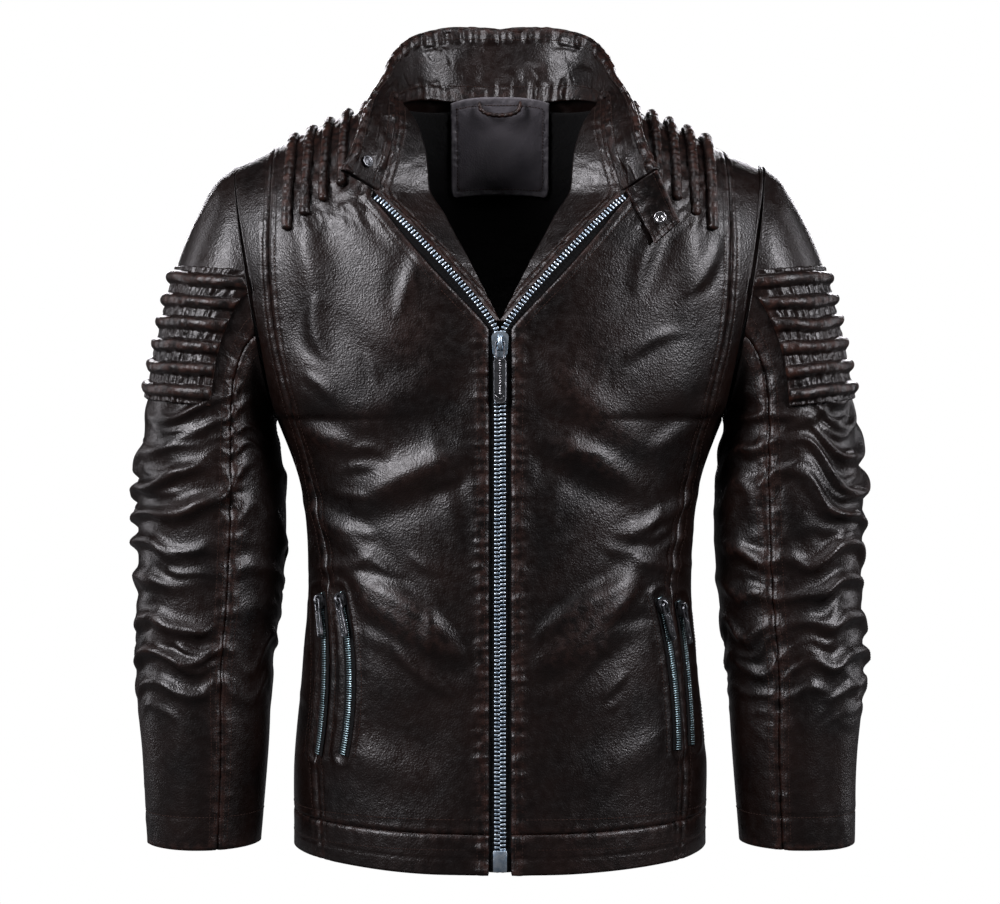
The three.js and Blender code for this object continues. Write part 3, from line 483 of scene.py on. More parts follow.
@dataclass
class Torso:
    """The body of the jacket as it hangs on a form, and the creases worked into it."""

    armpit: float = 358.0
    shoulder_tip: float = 573.0
    neck_side: float = 632.0
    back_rise: float = 66.0
    shoulder_half: float = 224.0
    armpit_half: float = 190.0
    neck_half: float = 92.0
    back_neck_depth: float = 75.0
    front_depth: float = 114.0
    blade_depth: float = 118.0
    hole_half_depth: float = 70.0
    squareness: float = 2.3
    chain_half: float = 4.6
    placket_edge: float = 9.5
    vee_bottom: float = 427.0
    vee_top: float = 538.0
    vee_half: float = 101.0
    hem_band: float = 30.0
    yoke_seam: float = 452.0
    cord_first: float = 113.0
    cord_pitch: float = 15.0
    cord_count: int = 5
    deepest: float = 5.0
    hem_sag: float = 8.0
    pocket_paths: dict = field(default_factory=dict)

    def __post_init__(self) -> None:
        """Draws the curves that the sizes lead to."""
        self.middle = (self.armpit + self.shoulder_tip) / 2
        self.half_hole = (self.shoulder_tip - self.armpit) / 2
        self.lean = (self.shoulder_half - self.armpit_half) / (self.shoulder_tip - self.armpit)
        self.slope = (self.neck_side - self.shoulder_tip) / (self.shoulder_half - self.neck_half)
        self.side_width = smooth_through(
            [(0, 175), (70, 174), (150, 167), (230, 162), (300, 168), (self.armpit, self.armpit_half)]
        )
        self.back_depth = smooth_through([(0, 112), (230, 96), (self.middle, self.blade_depth)])
        self.princess = smooth_through(
            [
                (0, 146), (85, 151), (215, 140), (300, 154), (430, 186), (self.shoulder_tip, 190),
                (self.neck_side, 190)
            ]
        )
        edge = self.vee_half + self.chain_half / 2 + 1
        self.neck_edge = smooth_through(
            [
                (self.vee_top, edge), (self.vee_top + 30, 95), (self.vee_top + 62, 89),
                (self.neck_side, self.neck_half)
            ]
        )
        self.folds = {side: self.front_folds(side) for side in Side}
        self.back_folds = scattered_folds(11, 46, (-165, 40, 165, 400), 12, 90)

    def front_folds(self, side: Side) -> list[Fold]:
        """Creases of one front, across being measured from the centre line.

        Args:
            side: which front.

        Returns:
            The creases, the long drapes first.
        """
        drapes = [
            Fold((20, 338), (128, 288), 5, 13, 6.0),
            Fold((22, 158), (120, 232), -9, 13, 5.6),
            Fold((24, 408), (150, 330), -8, 17, 3.2),
            Fold((186, 372), (112, 336), 5, 8, 2.4),
            Fold((168, 300), (96, 262), 5, 7, 2.6),
            Fold((165, 268), (74, 220), -5, 8, 2.2),
            Fold((112, 232), (27, 170), -6, 8, 3.2),
            Fold((126, 192), (36, 140), -5, 9, 2.8),
            Fold((84, 172), (40, 128), 3, 6, 2.2),
            Fold((112, 530), (34, 372), 12, 22, 1.8),
            Fold((158, 505), (66, 396), 8, 17, 2.2),
            Fold((168, 560), (152, 420), 3, 12, 2.4),
            Fold((152, 106), (46, 68), 6, 14, 2.2),
            Fold((160, 236), (106, 243), 2, 6, 2.2),
            Fold((162, 214), (118, 204), 2, 5, 2.0),
            Fold((60, 350), (30, 250), -3, 9, 1.5),
        ]
        draw = np.random.default_rng(21 if side is Side.LEFT else 22)
        moved = []
        for fold in drapes:
            jog = draw.normal(0, 5, 4)
            start = (fold.start[0] + jog[0], fold.start[1] + jog[1])
            end = (fold.end[0] + jog[2], fold.end[1] + jog[3])
            moved.append(Fold(start, end, fold.bow, fold.width, fold.height * draw.uniform(0.8, 1.2)))
        seed = 31 if side is Side.LEFT else 32
        waist = scattered_folds(seed, 13, (40, 120, 160, 330), 30, 60)
        chest = scattered_folds(seed + 10, 5, (50, 360, 170, 520), 60, 70)
        return moved + waist + chest

    def shoulder_line(self, x: Array, face: Face) -> Array:
        """Height of the top of the cloth over x."""
        rise = self.back_rise * (1 - np.minimum(x / self.neck_half, 1) ** 3) if face is Face.BACK else 0 * x
        return self.neck_side + np.where(x < self.neck_half, rise, self.slope * (self.neck_half - x))

    def hole_x(self, z: Array) -> Array:
        """Half width at the armhole."""
        return self.armpit_half + self.lean * (z - self.armpit)

    def point(self, side: int, face: Face, turn: Array, level: Array, inset: float = 0.0) -> Array:
        """A point of the plain form.

        Args:
            side: sign of X.
            face: front or back.
            turn: 0 on the centre line, a quarter turn at the side.
            level: 0 at the hem, 1 in the middle of the armhole, 2 on the shoulder line.
            inset: how far inside the form.

        Returns:
            Points in millimetres above the hem.
        """
        turn, level = np.broadcast_arrays(np.asarray(turn, float), np.asarray(level, float))
        z = np.minimum(level, 1) * self.middle
        angle = np.clip(level - 1, 0, 1) * QUARTER
        rise, fall = np.sin(angle), np.cos(angle)
        reach = np.where(level <= 1, z, self.middle + self.half_hole * rise)
        width = np.where(reach < self.armpit, self.side_width(reach), self.hole_x(reach))
        above = np.clip((z - self.armpit) / self.half_hole, 0, 1)
        edge = np.maximum(0, self.hole_half_depth * np.sqrt(1 - (1 - above) ** 2) - inset)
        x = (width - inset) * np.maximum(0, np.sin(turn)) ** (2 / self.squareness)
        depth = self.front_depth if face is Face.FRONT else self.back_depth(z)
        blend = above * above * (3 - 2 * above)
        power = 1 / self.squareness + (0.85 - 1 / self.squareness) * blend
        bow = np.maximum(0, np.cos(turn)) ** (2 * power)
        y = (edge + (depth - inset - edge) * bow) * fall + 0.3
        height = z + (self.shoulder_line(x, face) - inset - z) * rise
        return np.stack([side * x, face.value * y, height], -1)

    def turn_at(self, x: Array, level: Array) -> Array:
        """The turn at which the form is x wide."""
        level = np.asarray(level, float)
        angle = np.clip(level - 1, 0, 1) * QUARTER
        reach = np.where(level <= 1, level * self.middle, self.middle + self.half_hole * np.sin(angle))
        width = np.where(reach < self.armpit, self.side_width(reach), self.hole_x(reach))
        return np.arcsin(np.clip(x / width, 0, 1) ** (self.squareness / 2))

    def at_x(self, side: int, face: Face, x: Array, level: Array, inset: float = 0.0) -> Array:
        """A point of the plain form, x from the centre line."""
        return self.point(side, face, self.turn_at(x, level), level, inset)

    def level(self, z: Array) -> Array:
        """Level of a front point at height z."""
        z = np.asarray(z, float)
        share = np.clip((z - self.middle) / (self.neck_side - self.middle), 0, 1)
        return np.where(z <= self.middle, z / self.middle, 1 + np.arcsin(share) / QUARTER)

    def height(self, level: Array) -> Array:
        """Height of a front point, from its level."""
        rise = np.sin(np.clip(level - 1, 0, 1) * QUARTER)
        return np.where(level <= 1, level * self.middle, self.middle + (self.neck_side - self.middle) * rise)

    def vee_share(self, z: Array) -> Array:
        """0 at the slider and 1 at the top of the open vee."""
        return np.clip((z - self.vee_bottom) / (self.vee_top - self.vee_bottom), 0, 1)

    def teeth_x(self, z: Array) -> Array:
        """Middle of the row of teeth at height z."""
        half = self.chain_half / 2
        return half + (self.vee_half - half) * self.vee_share(z) ** 1.15

    def edge_x(self, level: Array) -> Array:
        """Inner edge of the front leather: placket, open vee, neck seam."""
        z = self.height(level)
        t = self.vee_share(z)
        strip = self.chain_half / 2 + 1 + 3 * (1 - t) + 8 * np.sin(np.pi * t)
        return np.where(
            z > self.vee_top, self.neck_edge(z), np.maximum(self.placket_edge, self.teeth_x(z) + strip)
        )

    def normal(self, side: int, face: Face, turn: Array, level: Array, step: float = 0.004) -> Array:
        """The plain form's outward normal."""
        across = self.point(side, face, turn + step, level) - self.point(side, face, turn - step, level)
        upward = self.point(side, face, turn, level + step) - self.point(side, face, turn, level - step)
        return unit(np.cross(across, upward)) * side * -face.value

    def cord_puckers(self, x: Array, y: Array, z: Array) -> Array:
        """Ruching of the leather between the shoulder cords."""
        last = self.cord_first + self.cord_pitch * (self.cord_count - 1)
        lane = (
            smoothstep(x, self.cord_first - 12, self.cord_first - 2) * smoothstep(-x, -last - 12, -last - 2)
        )
        run = y * 0.8 - z
        reach = smoothstep(z, 490, 540)
        waves = Noise(5).at(x / 7.5, run / 3.4) + 0.6 * Noise(6).at(x / 4, run / 2.4)
        return lane * reach * 1.1 * waves

    def front_relief(self, side: Side, x: Array, y: Array, z: Array) -> Array:
        """Creases, puckers and seams of one front.

        Args:
            side: which front.
            x: distance from the centre line.
            y: depth.
            z: height.

        Returns:
            Millimetres out of the form.
        """
        seed = side.value * 100
        quiet = smoothstep(x, 20, 34) * (1 - smoothstep(z, 520, 600))
        folds = sum(fold.relief(x, z) for fold in self.folds[side])
        swell = 3.4 * Noise(seed + 101).at(x / 66, z / 90)
        warp = 9 * Noise(seed + 102).at(x / 40, z / 40)
        fine = Noise(seed + 103).ridged((x * 0.8 + z * 0.5 + warp) / 26, (z * 0.8 - x * 0.5) / 11) ** 3
        patch = smoothstep(Noise(seed + 104).at(x / 45, z / 50), -0.25, 0.6)
        waist = bell(z - 225, 130)
        total = (
            quiet * (folds * 0.9 + 0.4 * fine * patch * (0.2 + 0.8 * waist)) + swell * smoothstep(x, 12, 60)
        )
        ladder = Noise(seed + 105).at(x / 30, z / 4.1) + 0.5 * Noise(seed + 106).at(x / 9, z / 2.6)
        below = 1 - smoothstep(z, self.vee_bottom - 12, self.vee_bottom + 8)
        total += below * bell(x - 15, 5.5) * (2.0 * ladder + 1.1)
        total -= below * 0.75 * (bell(x - 12.4, 1.0) + bell(x - 18.2, 1.0))
        rim = x - self.edge_x(self.level(z))
        open_part = smoothstep(z, self.vee_bottom - 4, self.vee_bottom + 10)
        total += open_part * (bell(rim - 5, 5) * (0.6 * ladder + 0.5) - 0.6 * bell(rim - 9, 1.1))
        off = x - self.princess(z)
        total += bell(np.abs(off) - 4, 4.5) * (0.45 * Noise(seed + 107).at(x / 12, z / 4.4) + 0.2)
        total -= 1.1 * bell(off, 1.4) + 0.45 * bell(np.abs(off) - 5.4, 0.9)
        total += self.cord_puckers(x, y, z)
        for path in self.pocket_paths.get(side, []):
            away = distance_to(path, x, z)
            total = total * smoothstep(away, 5, 22) + 1.5 * bell(away - 7.6, 2.3) - 0.8 * bell(away, 5)
            total += 0.4 * bell(away - 12, 4) * Noise(seed + 108).at(x / 5, z / 4.5)
        hem = z - self.hem_band
        total += bell(hem, 8) * 0.5 * Noise(seed + 109).at(x / 5, z / 12) - 1.1 * bell(hem, 1.4)
        total -= 0.5 * bell(hem - 6, 0.9) + 0.5 * bell(z - 12, 0.9)
        return total

    def back_relief(self, x: Array, y: Array, z: Array) -> Array:
        """Creases, puckers and seams of the back, x being signed."""
        quiet = 1 - smoothstep(z, 480, 560)
        folds = sum(fold.relief(x, z) for fold in self.back_folds)
        swell = 2.4 * Noise(201).at(x / 70, z / 90)
        warp = 9 * Noise(202).at(x / 40, z / 40)
        fine = Noise(203).ridged((x + warp) / 34, z / 12) ** 3 * bell(z - 220, 120)
        seam = z - self.yoke_seam
        total = quiet * (folds * 0.85 + 0.7 * fine) + swell * (1 - 0.6 * smoothstep(z, 560, 680))
        total += bell(np.abs(seam) - 5, 5) * (0.45 * Noise(204).at(x / 4.4, z / 12) + 0.4)
        total -= 1.3 * bell(seam, 1.5) + 0.45 * bell(np.abs(seam) - 5.4, 0.9)
        total += self.cord_puckers(np.abs(x), y, z)
        hem = z - self.hem_band
        total += bell(hem, 8) * 0.5 * Noise(205).at(x / 5, z / 12) - 1.1 * bell(hem, 1.4)
        total -= 0.5 * bell(hem - 6, 0.9) + 0.5 * bell(z - 12, 0.9)
        return total

    def relief(self, side: int, face: Face, base: Array) -> Array:
        """Millimetres that the worked leather stands out of the form at plain points."""
        x, y, z = base[..., 0], base[..., 1], base[..., 2]
        if face is Face.FRONT:
            total = self.front_relief(Side(side), np.abs(x), y, z)
        else:
            total = self.back_relief(x, y, z)
        seam = smoothstep(np.abs(y), 4, 34)
        lowest = -self.deepest * np.ones_like(total)
        return np.maximum(total, lowest) * np.where(z < self.armpit, 0.35 + 0.65 * seam, 1)

    def skin(self, side: int, face: Face, turn: Array, level: Array, lift: Array | float = 0.0) -> Array:
        """A point of the worked leather, lifted along its normal."""
        base = self.point(side, face, turn, level)
        reach = self.relief(side, face, base) + lift
        sag = (
            self.hem_sag * (1 - smoothstep(base[..., 2], 0, 90))
            * np.maximum(0, 1 - (base[..., 0] / 176) ** 2)
        )
        down = np.stack([0 * sag, 0 * sag, -sag * (1 if face is Face.FRONT else 0.4)], -1)
        return base + self.normal(side, face, turn, level) * reach[..., None] + down

    def wear(self, side: int, face: Face, base: Array) -> Array:
        """Rub of the leather: along its seams, and on the crests of its creases."""
        x, z = np.abs(base[..., 0]), base[..., 2]
        crest = smoothstep(self.relief(side, face, base), 1.2, 5.5) * 0.35
        seam = 0.45 * bell(z - self.hem_band, 4)
        if face is Face.FRONT:
            edge = self.edge_x(self.level(z))
            seam = (
                seam + 0.7 * bell(x - edge, 4) + 0.4 * bell(x - 15, 5)
                + 0.35 * bell(x - self.princess(z), 5)
            )
        else:
            seam = seam + 0.4 * bell(z - self.yoke_seam, 6)
        lane = smoothstep(x, 100, 112) * smoothstep(-x, -184, -174) * smoothstep(z, 520, 560) * 0.6
        return np.clip(crest + seam + lane, 0, 1)


@dataclass
class SleeveForm:
    """A sleeve as it hangs, from the cuff (ring 0) to the armhole (the last ring)."""

    side: Side
    seam_angle: float = math.radians(112)
    fold_pitch: float = 31.0
    seed: int = 300

    def __post_init__(self) -> None:
        """Draws the curves through the sleeve's rings."""
        outer = [(298, 3), (301, 75), (308, 147), (308, 218), (308, 290), (303, 348), (294, 395), (284, 442)]
        outer += [(272, 490), (256, 530), (239, 560), (224.5, 573)]
        inner = [
            (202, 3), (196, 78), (192, 146), (185, 204), (181, 260), (182.5, 303), (187, 333), (190.5, 347)
        ]
        inner += [(191.5, 353), (191.2, 356), (190.9, 357.4), (190.5, 358)]
        middle = [-18, -17, -14, -10, -7, -4, -2, -1, 0, 0, 0, 0]
        half = [50, 55, 60, 64, 67, 69, 70, 70.5, 70.5, 70.3, 70.1, 70]
        self.last = len(outer) - 1
        self.curves = [
            smooth_through(list(enumerate(values)))
            for values in (*zip(*outer), *zip(*inner), middle, half)
        ]
        self.seed += 50 * (self.side is Side.RIGHT)
        self.folds = scattered_folds(self.seed, 16, (-120, 130, 150, 400), 8, 80)
        self.folds += scattered_folds(self.seed + 1, 9, (-120, 10, 150, 150), 30, 52)

    def point(self, angle: Array, ring: Array, inset: float = 0.0) -> Array:
        """A point of the plain sleeve.

        Args:
            angle: 0 outside, a quarter turn in front, a half turn inside.
            ring: place along the sleeve.
            inset: how far inside it.

        Returns:
            Points in millimetres above the hem.
        """
        angle, ring = np.broadcast_arrays(np.asarray(angle, float), np.asarray(ring, float))
        ox, oz, ix, iz, middle, half = (curve(ring) for curve in self.curves)
        hx, hz = (ox - ix) / 2, (oz - iz) / 2
        shrink = (1 - inset / np.hypot(hx, hz)) * np.cos(angle)
        y = middle - (half - inset) * np.sin(angle)
        return np.stack([self.side.value * ((ox + ix) / 2 + hx * shrink), y, (oz + iz) / 2 + hz * shrink], -1)

    def ring_at(self, angle: Array, z: Array) -> Array:
        """The ring whose point at this angle is z high."""
        angle, z = np.broadcast_arrays(np.asarray(angle, float), np.asarray(z, float))
        low, high = np.zeros(z.shape), np.full(z.shape, float(self.last))
        for _ in range(26):
            middle = (low + high) / 2
            under = self.point(angle, middle)[..., 2] < z
            low, high = np.where(under, middle, low), np.where(under, high, middle)
        return (low + high) / 2

    def normal(self, angle: Array, ring: Array) -> Array:
        """The plain sleeve's outward normal."""
        across = self.point(angle + 0.01, ring) - self.point(angle - 0.01, ring)
        upward = (
            self.point(angle, np.minimum(ring + 0.02, self.last))
            - self.point(angle, np.maximum(ring - 0.02, 0))
        )
        return unit(np.cross(across, upward)) * -self.side.value

    def relief(self, angle: Array, base: Array) -> Array:
        """Bunching folds, creases, puckers and seams of the sleeve.

        Args:
            angle: place round the sleeve.
            base: plain points there.

        Returns:
            Millimetres out of the form.
        """
        z = base[..., 2]
        turned = (angle + np.pi) % (2 * np.pi) - np.pi
        round_in, round_out = np.cos(angle), np.sin(angle)
        arc = turned * 62
        bunch = smoothstep(z, 96, 170) * (1 - smoothstep(z, 345, 405))
        warp = 40 * Noise(self.seed + 2).at(round_in * 1.5, round_out * 1.5, z / 80)
        tilt = z + warp + 8 * np.sin(2 * angle) + 5 * Noise(self.seed + 10).at(arc / 22, z / 30)
        strength = smoothstep(
            Noise(self.seed + 3).at(round_in * 1.2 + 7, round_out * 1.2, z / 42), -0.75, 0.55
        )
        crest = (0.5 + 0.5 * np.sin(tilt * 2 * np.pi / self.fold_pitch)) ** 2.2
        cross = (0.5 + 0.5 * np.sin((tilt * 1.55 + arc * 0.5) * 2 * np.pi / self.fold_pitch)) ** 3
        other = smoothstep(Noise(self.seed + 4).at(round_in * 1.7 + 3, round_out * 1.7, z / 34), -0.1, 0.8)
        total = bunch * (7.6 * crest * (0.15 + 0.85 * strength) - 2.4 + 4.0 * cross * other)
        swell = 1.6 * Noise(self.seed + 5).at(round_in * 1.5, round_out * 1.5, z / 70)
        total += swell
        folds = sum(fold.relief(arc, z) for fold in self.folds)
        total += folds * (0.6 * bunch + 0.35) * (1 - smoothstep(z, 400, 470))
        near = np.abs(np.abs(turned) - self.seam_angle) * 62
        pull = 0.45 * bell(near, 16)
        total = total * (1 - pull)
        ladder = Noise(self.seed + 6).at(near / 12, z / 5.2) + 0.5 * Noise(self.seed + 7).at(near / 6, z / 3)
        total += bell(near - 6, 6) * (0.9 * ladder + 0.5) - 1.3 * bell(near, 1.7)
        total -= 0.5 * (bell(near - 4.6, 0.9) + bell(near - 9.5, 0.9))
        total -= 0.6 * bell(z - 30, 1.0)
        total += 0.5 * bell(z - 20, 14) * Noise(self.seed + 8).at(arc / 7, z / 20)
        cap = smoothstep(z, 500, 568)
        total += 0.8 * cap * Noise(self.seed + 9).at(arc / 9, z / 14)
        return np.maximum(total, -3.4) * (1 - 0.75 * smoothstep(z, 548, 572))

    def skin(self, angle: Array, ring: Array, lift: Array | float = 0.0) -> Array:
        """A point of the worked leather, lifted along its normal."""
        base = self.point(angle, ring)
        inner = smoothstep(np.cos(angle), -0.85, -0.35)
        reach = self.relief(angle, base) * (0.35 + 0.65 * inner)
        return base + self.normal(angle, ring) * (reach + lift)[..., None]

    def wear(self, angle: Array, ring: Array) -> Array:
        """Rub of the leather on its crests, seams and cuff."""
        base = self.point(angle, ring)
        turned = (angle + np.pi) % (2 * np.pi) - np.pi
        near = np.abs(np.abs(turned) - self.seam_angle) * 62
        crest = smoothstep(self.relief(angle, base), 2.4, 6.0) * 0.4
        return np.clip(crest + 0.7 * bell(near, 8) + 0.7 * bell(base[..., 2] - 3, 5), 0, 1)


@dataclass
class CollarForm:
    """The stand collar, from its seam on the neck to its free edge."""

    torso: Torso
    end: float = 0.98
    leaf: float = 1.6
    gap: float = 0.4
    lift: float = 0.7

    def __post_init__(self) -> None:
        """Draws the free edge, upright at the back and turned out in front."""
        free = [(0, 84, 706), (44, 80, 706), (78, 60, 694), (93, 26, 672), (100, -14, 645)]
        free += [(109, -54, 618), (116, -94, 583), (127, -122, 550)]
        last = len(free) - 1
        self.free = [smooth_through([(i / last, p[k]) for i, p in enumerate(free)]) for k in range(3)]

    def seam(self, t: Array) -> Array:
        """The neck seam of the wearer's left, from the centre back (0) to the zip (1)."""
        body = self.torso
        half = body.neck_half
        turn = body.turn_at(np.minimum(half * np.sin(np.minimum(t, 0.5) * np.pi), half - 0.01), 1.8)
        x = np.minimum(body.point(1, Face.BACK, turn, 1.8)[..., 0], half)
        bow = np.maximum(0, np.cos(turn)) ** 1.7
        depth = body.hole_half_depth + (body.blade_depth - body.hole_half_depth) * bow
        rise = body.back_neck_depth * np.sqrt(np.maximum(0, 1 - (x / half) ** 3))
        level = 1 + np.arccos(np.minimum(1, rise / depth)) / QUARTER
        back = body.point(1, Face.BACK, turn, level)
        low = body.level(body.vee_top)
        front_level = 2 + (low - 2) * np.clip((t - 0.5) * 2, 0, 1)
        front = body.at_x(1, Face.FRONT, body.edge_x(front_level), front_level)
        return np.where((t <= 0.5)[..., None], back, front)

    def point(self, s: Array, v: Array) -> Array:
        """A point of the plain collar.

        Args:
            s: -1 at the right end, 0 at the centre back, 1 at the left end.
            v: 0 at the neck seam, 1 on the free edge.

        Returns:
            Points in millimetres above the hem.
        """
        s, v = np.broadcast_arrays(np.asarray(s, float), np.asarray(v, float))
        t = np.minimum(np.abs(s), 1)
        seam = self.seam(t)
        free = np.stack([curve(t) for curve in self.free], -1)
        rise = free - seam
        start = self.lift / np.linalg.norm(rise, axis=-1)
        place = seam + rise * (start + (1 - start) * v)[..., None]
        return place * np.stack([np.where(s < 0, -1, 1), np.ones_like(s), np.ones_like(s)], -1)

    def normal(self, s: Array, v: Array) -> Array:
        """Direction towards the neck."""
        along = self.point(s + 0.02, v) - self.point(s - 0.02, v)
        upward = self.point(s, v + 0.02) - self.point(s, v - 0.02)
        return unit(np.cross(along, upward))

    def puckers(self, s: Array, v: Array, seed: int) -> Array:
        """Ruching of one leaf.

        Args:
            s: place along the collar.
            v: place up it.
            seed: the leaf's own seed.

        Returns:
            Millimetres proud of the leaf.
        """
        run, rise = s * 265, v * 62
        broad = 2.1 * Noise(seed).at(run / 26, rise / 20)
        foot = bell(rise - 4, 14) * (2.3 * Noise(seed + 1).at(run / 7.0, rise / 22) + 0.4)
        edge = bell(rise - 56, 10) * (2.6 * Noise(seed + 2).at(run / 5.2, rise / 26) + 1.1)
        stitch = 1.7 * bell(rise - 46, 1.6) + 0.6 * bell(rise - 8, 1.1)
        crease = 0.8 * Noise(seed + 3).ridged(run / 16 + rise / 30, rise / 18) ** 3
        return broad * bell(rise - 34, 30) + foot + edge + crease - stitch

    def skin(self, s: Array, v: Array, depth: float, seed: int, proud: float) -> Array:
        """A point of one leaf's shown side.

        Args:
            s: place along the collar.
            v: place up it.
            depth: depth of the leaf's side, towards the neck.
            seed: the leaf's own seed.
            proud: 1 where the side looks at the neck, -1 where it looks away.

        Returns:
            Points in millimetres above the hem.
        """
        relief = np.maximum(self.puckers(s, v, seed), 0.1) * proud
        return self.point(s, v) + self.normal(s, v) * (relief + depth)[..., None]

    def wear(self, s: Array, v: Array) -> Array:
        """Rub along the collar's edges."""
        rise = v * 62
        return np.clip(
            0.9 * bell(rise - 61, 5) + 0.55 * bell(rise, 6) + 0.2 * Noise(9).at(s * 30, rise / 9), 0, 1
        )


# ---------------------------------------------------------------- finishes


def group_tree(name: str, inputs: Sequence[tuple[str, float]], outputs: Sequence[str]) -> tuple:
    """An empty shader node group with number sockets.

    Args:
        name: the group's name.
        inputs: (name, first value) of each input.
        outputs: name of each output.

    Returns:
        The tree, its input node and its output node.
    """
    tree = bpy.data.node_groups.new(name, "ShaderNodeTree")
    for label, value in inputs:
        socket = tree.interface.new_socket(name=label, in_out="INPUT", socket_type="NodeSocketFloat")
        socket.default_value = value
    for label in outputs:
        tree.interface.new_socket(name=label, in_out="OUTPUT", socket_type="NodeSocketFloat")
    return tree, tree.nodes.new("NodeGroupInput"), tree.nodes.new("NodeGroupOutput")


def math_node(tree: bpy.types.NodeTree, operation: str, *values: object) -> bpy.types.NodeSocket:
    """A math node fed by sockets or numbers, and its result."""
    node = tree.nodes.new("ShaderNodeMath")
    node.operation = operation
    for socket, value in zip(node.inputs, values):
        if isinstance(value, (int, float)):
            socket.default_value = value
        else:
            tree.links.new(value, socket)
    return node.outputs[0]


def noise_node(
    tree: bpy.types.NodeTree, scale: object, detail: float, vector: object
) -> bpy.types.NodeSocket:
    """Noise over the piece's own coordinates, and its value."""
    node = tree.nodes.new("ShaderNodeTexNoise")
    node.inputs["Detail"].default_value = detail
    tree.links.new(vector, node.inputs["Vector"])
    if isinstance(scale, (int, float)):
        node.inputs["Scale"].default_value = scale
    else:
        tree.links.new(scale, node.inputs["Scale"])
    return node.outputs[0]


def grain_group() -> bpy.types.NodeTree:
    """Pebbled leather: cells, fine creases between them, and slow mottling."""
    tree, source, sink = group_tree(
        "leather_grain", [("Cells", 620.0), ("Creases", 150.0), ("Depth", 1.0)], ["Height", "Mottle", "Scuff"]
    )
    place = tree.nodes.new("ShaderNodeTexCoord").outputs["Object"]
    cells = tree.nodes.new("ShaderNodeTexVoronoi")
    cells.feature = "SMOOTH_F1"
    cells.inputs["Smoothness"].default_value = 0.35
    tree.links.new(source.outputs["Cells"], cells.inputs["Scale"])
    bent = tree.nodes.new("ShaderNodeVectorMath")
    bent.operation = "MULTIPLY_ADD"
    drift = tree.nodes.new("ShaderNodeTexNoise")
    drift.inputs["Scale"].default_value = 90.0
    tree.links.new(place, drift.inputs["Vector"])
    tree.links.new(drift.outputs["Color"], bent.inputs[0])
    bent.inputs[1].default_value = (0.004, 0.004, 0.004)
    tree.links.new(place, bent.inputs[2])
    tree.links.new(bent.outputs[0], cells.inputs["Vector"])
    crease = noise_node(tree, source.outputs["Creases"], 6.0, bent.outputs[0])
    ridge = math_node(tree, "ABSOLUTE", math_node(tree, "SUBTRACT", crease, 0.5))
    height = math_node(tree, "MULTIPLY_ADD", ridge, 1.6, cells.outputs["Distance"])
    tree.links.new(math_node(tree, "MULTIPLY", height, source.outputs["Depth"]), sink.inputs["Height"])
    tree.links.new(noise_node(tree, 22.0, 5.0, place), sink.inputs["Mottle"])
    tree.links.new(noise_node(tree, 160.0, 8.0, place), sink.inputs["Scuff"])
    return tree


def cloth_group() -> bpy.types.NodeTree:
    """Fibres of a woven tape or a fleece: tufts and a finer nap."""
    tree, source, sink = group_tree("cloth_nap", [("Tufts", 260.0), ("Fibres", 1400.0)], ["Height", "Shade"])
    place = tree.nodes.new("ShaderNodeTexCoord").outputs["Object"]
    tufts = noise_node(tree, source.outputs["Tufts"], 4.0, place)
    fibres = noise_node(tree, source.outputs["Fibres"], 3.0, place)
    tree.links.new(math_node(tree, "MULTIPLY_ADD", fibres, 0.4, tufts), sink.inputs["Height"])
    tree.links.new(math_node(tree, "MULTIPLY", tufts, fibres), sink.inputs["Shade"])
    return tree


def metal_group() -> bpy.types.NodeTree:
    """Handling marks on metal: fine scratches and tarnish."""
    tree, source, sink = group_tree("metal_marks", [("Scratches", 900.0)], ["Height", "Tarnish"])
    place = tree.nodes.new("ShaderNodeTexCoord").outputs["Object"]
    stretch = tree.nodes.new("ShaderNodeMapping")
    stretch.inputs["Scale"].default_value = (1.0, 1.0, 0.18)
    tree.links.new(place, stretch.inputs["Vector"])
    tree.links.new(
        noise_node(tree, source.outputs["Scratches"], 3.0, stretch.outputs[0]), sink.inputs["Height"]
    )
    tree.links.new(noise_node(tree, 210.0, 5.0, place), sink.inputs["Tarnish"])
    return tree


def ramp(
    tree: bpy.types.NodeTree, value: object, low: float, high: float, to_low: float, to_high: float
) -> bpy.types.NodeSocket:
    """A value carried from one range to another, held at its ends."""
    node = tree.nodes.new("ShaderNodeMapRange")
    for socket, number in zip(node.inputs[1:5], (low, high, to_low, to_high)):
        socket.default_value = number
    tree.links.new(value, node.inputs[0])
    return node.outputs[0]


def mixed(tree: bpy.types.NodeTree, share: object, first: object, second: object) -> bpy.types.NodeSocket:
    """Two colours, or sockets of colour, mixed by a share."""
    node = tree.nodes.new("ShaderNodeMix")
    node.data_type = "RGBA"
    tree.links.new(share, node.inputs[0])
    for socket, colour in ((node.inputs[6], first), (node.inputs[7], second)):
        if isinstance(colour, tuple):
            socket.default_value = (*colour, 1.0)
        else:
            tree.links.new(colour, socket)
    return node.outputs[2]


def fresh_material(name: str) -> tuple:
    """A material with its shader, ready to be wired."""
    material = bpy.data.materials.new(name)
    material.use_nodes = True
    return material, material.node_tree, material.node_tree.nodes["Principled BSDF"]


def placed(tree: bpy.types.NodeTree, group: bpy.types.NodeTree, **values: float) -> bpy.types.Node:
    """A group placed in a material, with its numbers set."""
    node = tree.nodes.new("ShaderNodeGroup")
    node.node_tree = group
    for label, value in values.items():
        node.inputs[label].default_value = value
    return node


def bumped(
    tree: bpy.types.NodeTree, shader: bpy.types.Node, height: object, distance: float, strength: float
) -> None:
    """Feeds a height into the shader's normal."""
    bump = tree.nodes.new("ShaderNodeBump")
    bump.inputs["Distance"].default_value = distance
    bump.inputs["Strength"].default_value = strength
    tree.links.new(height, bump.inputs["Height"])
    tree.links.new(bump.outputs[0], shader.inputs["Normal"])


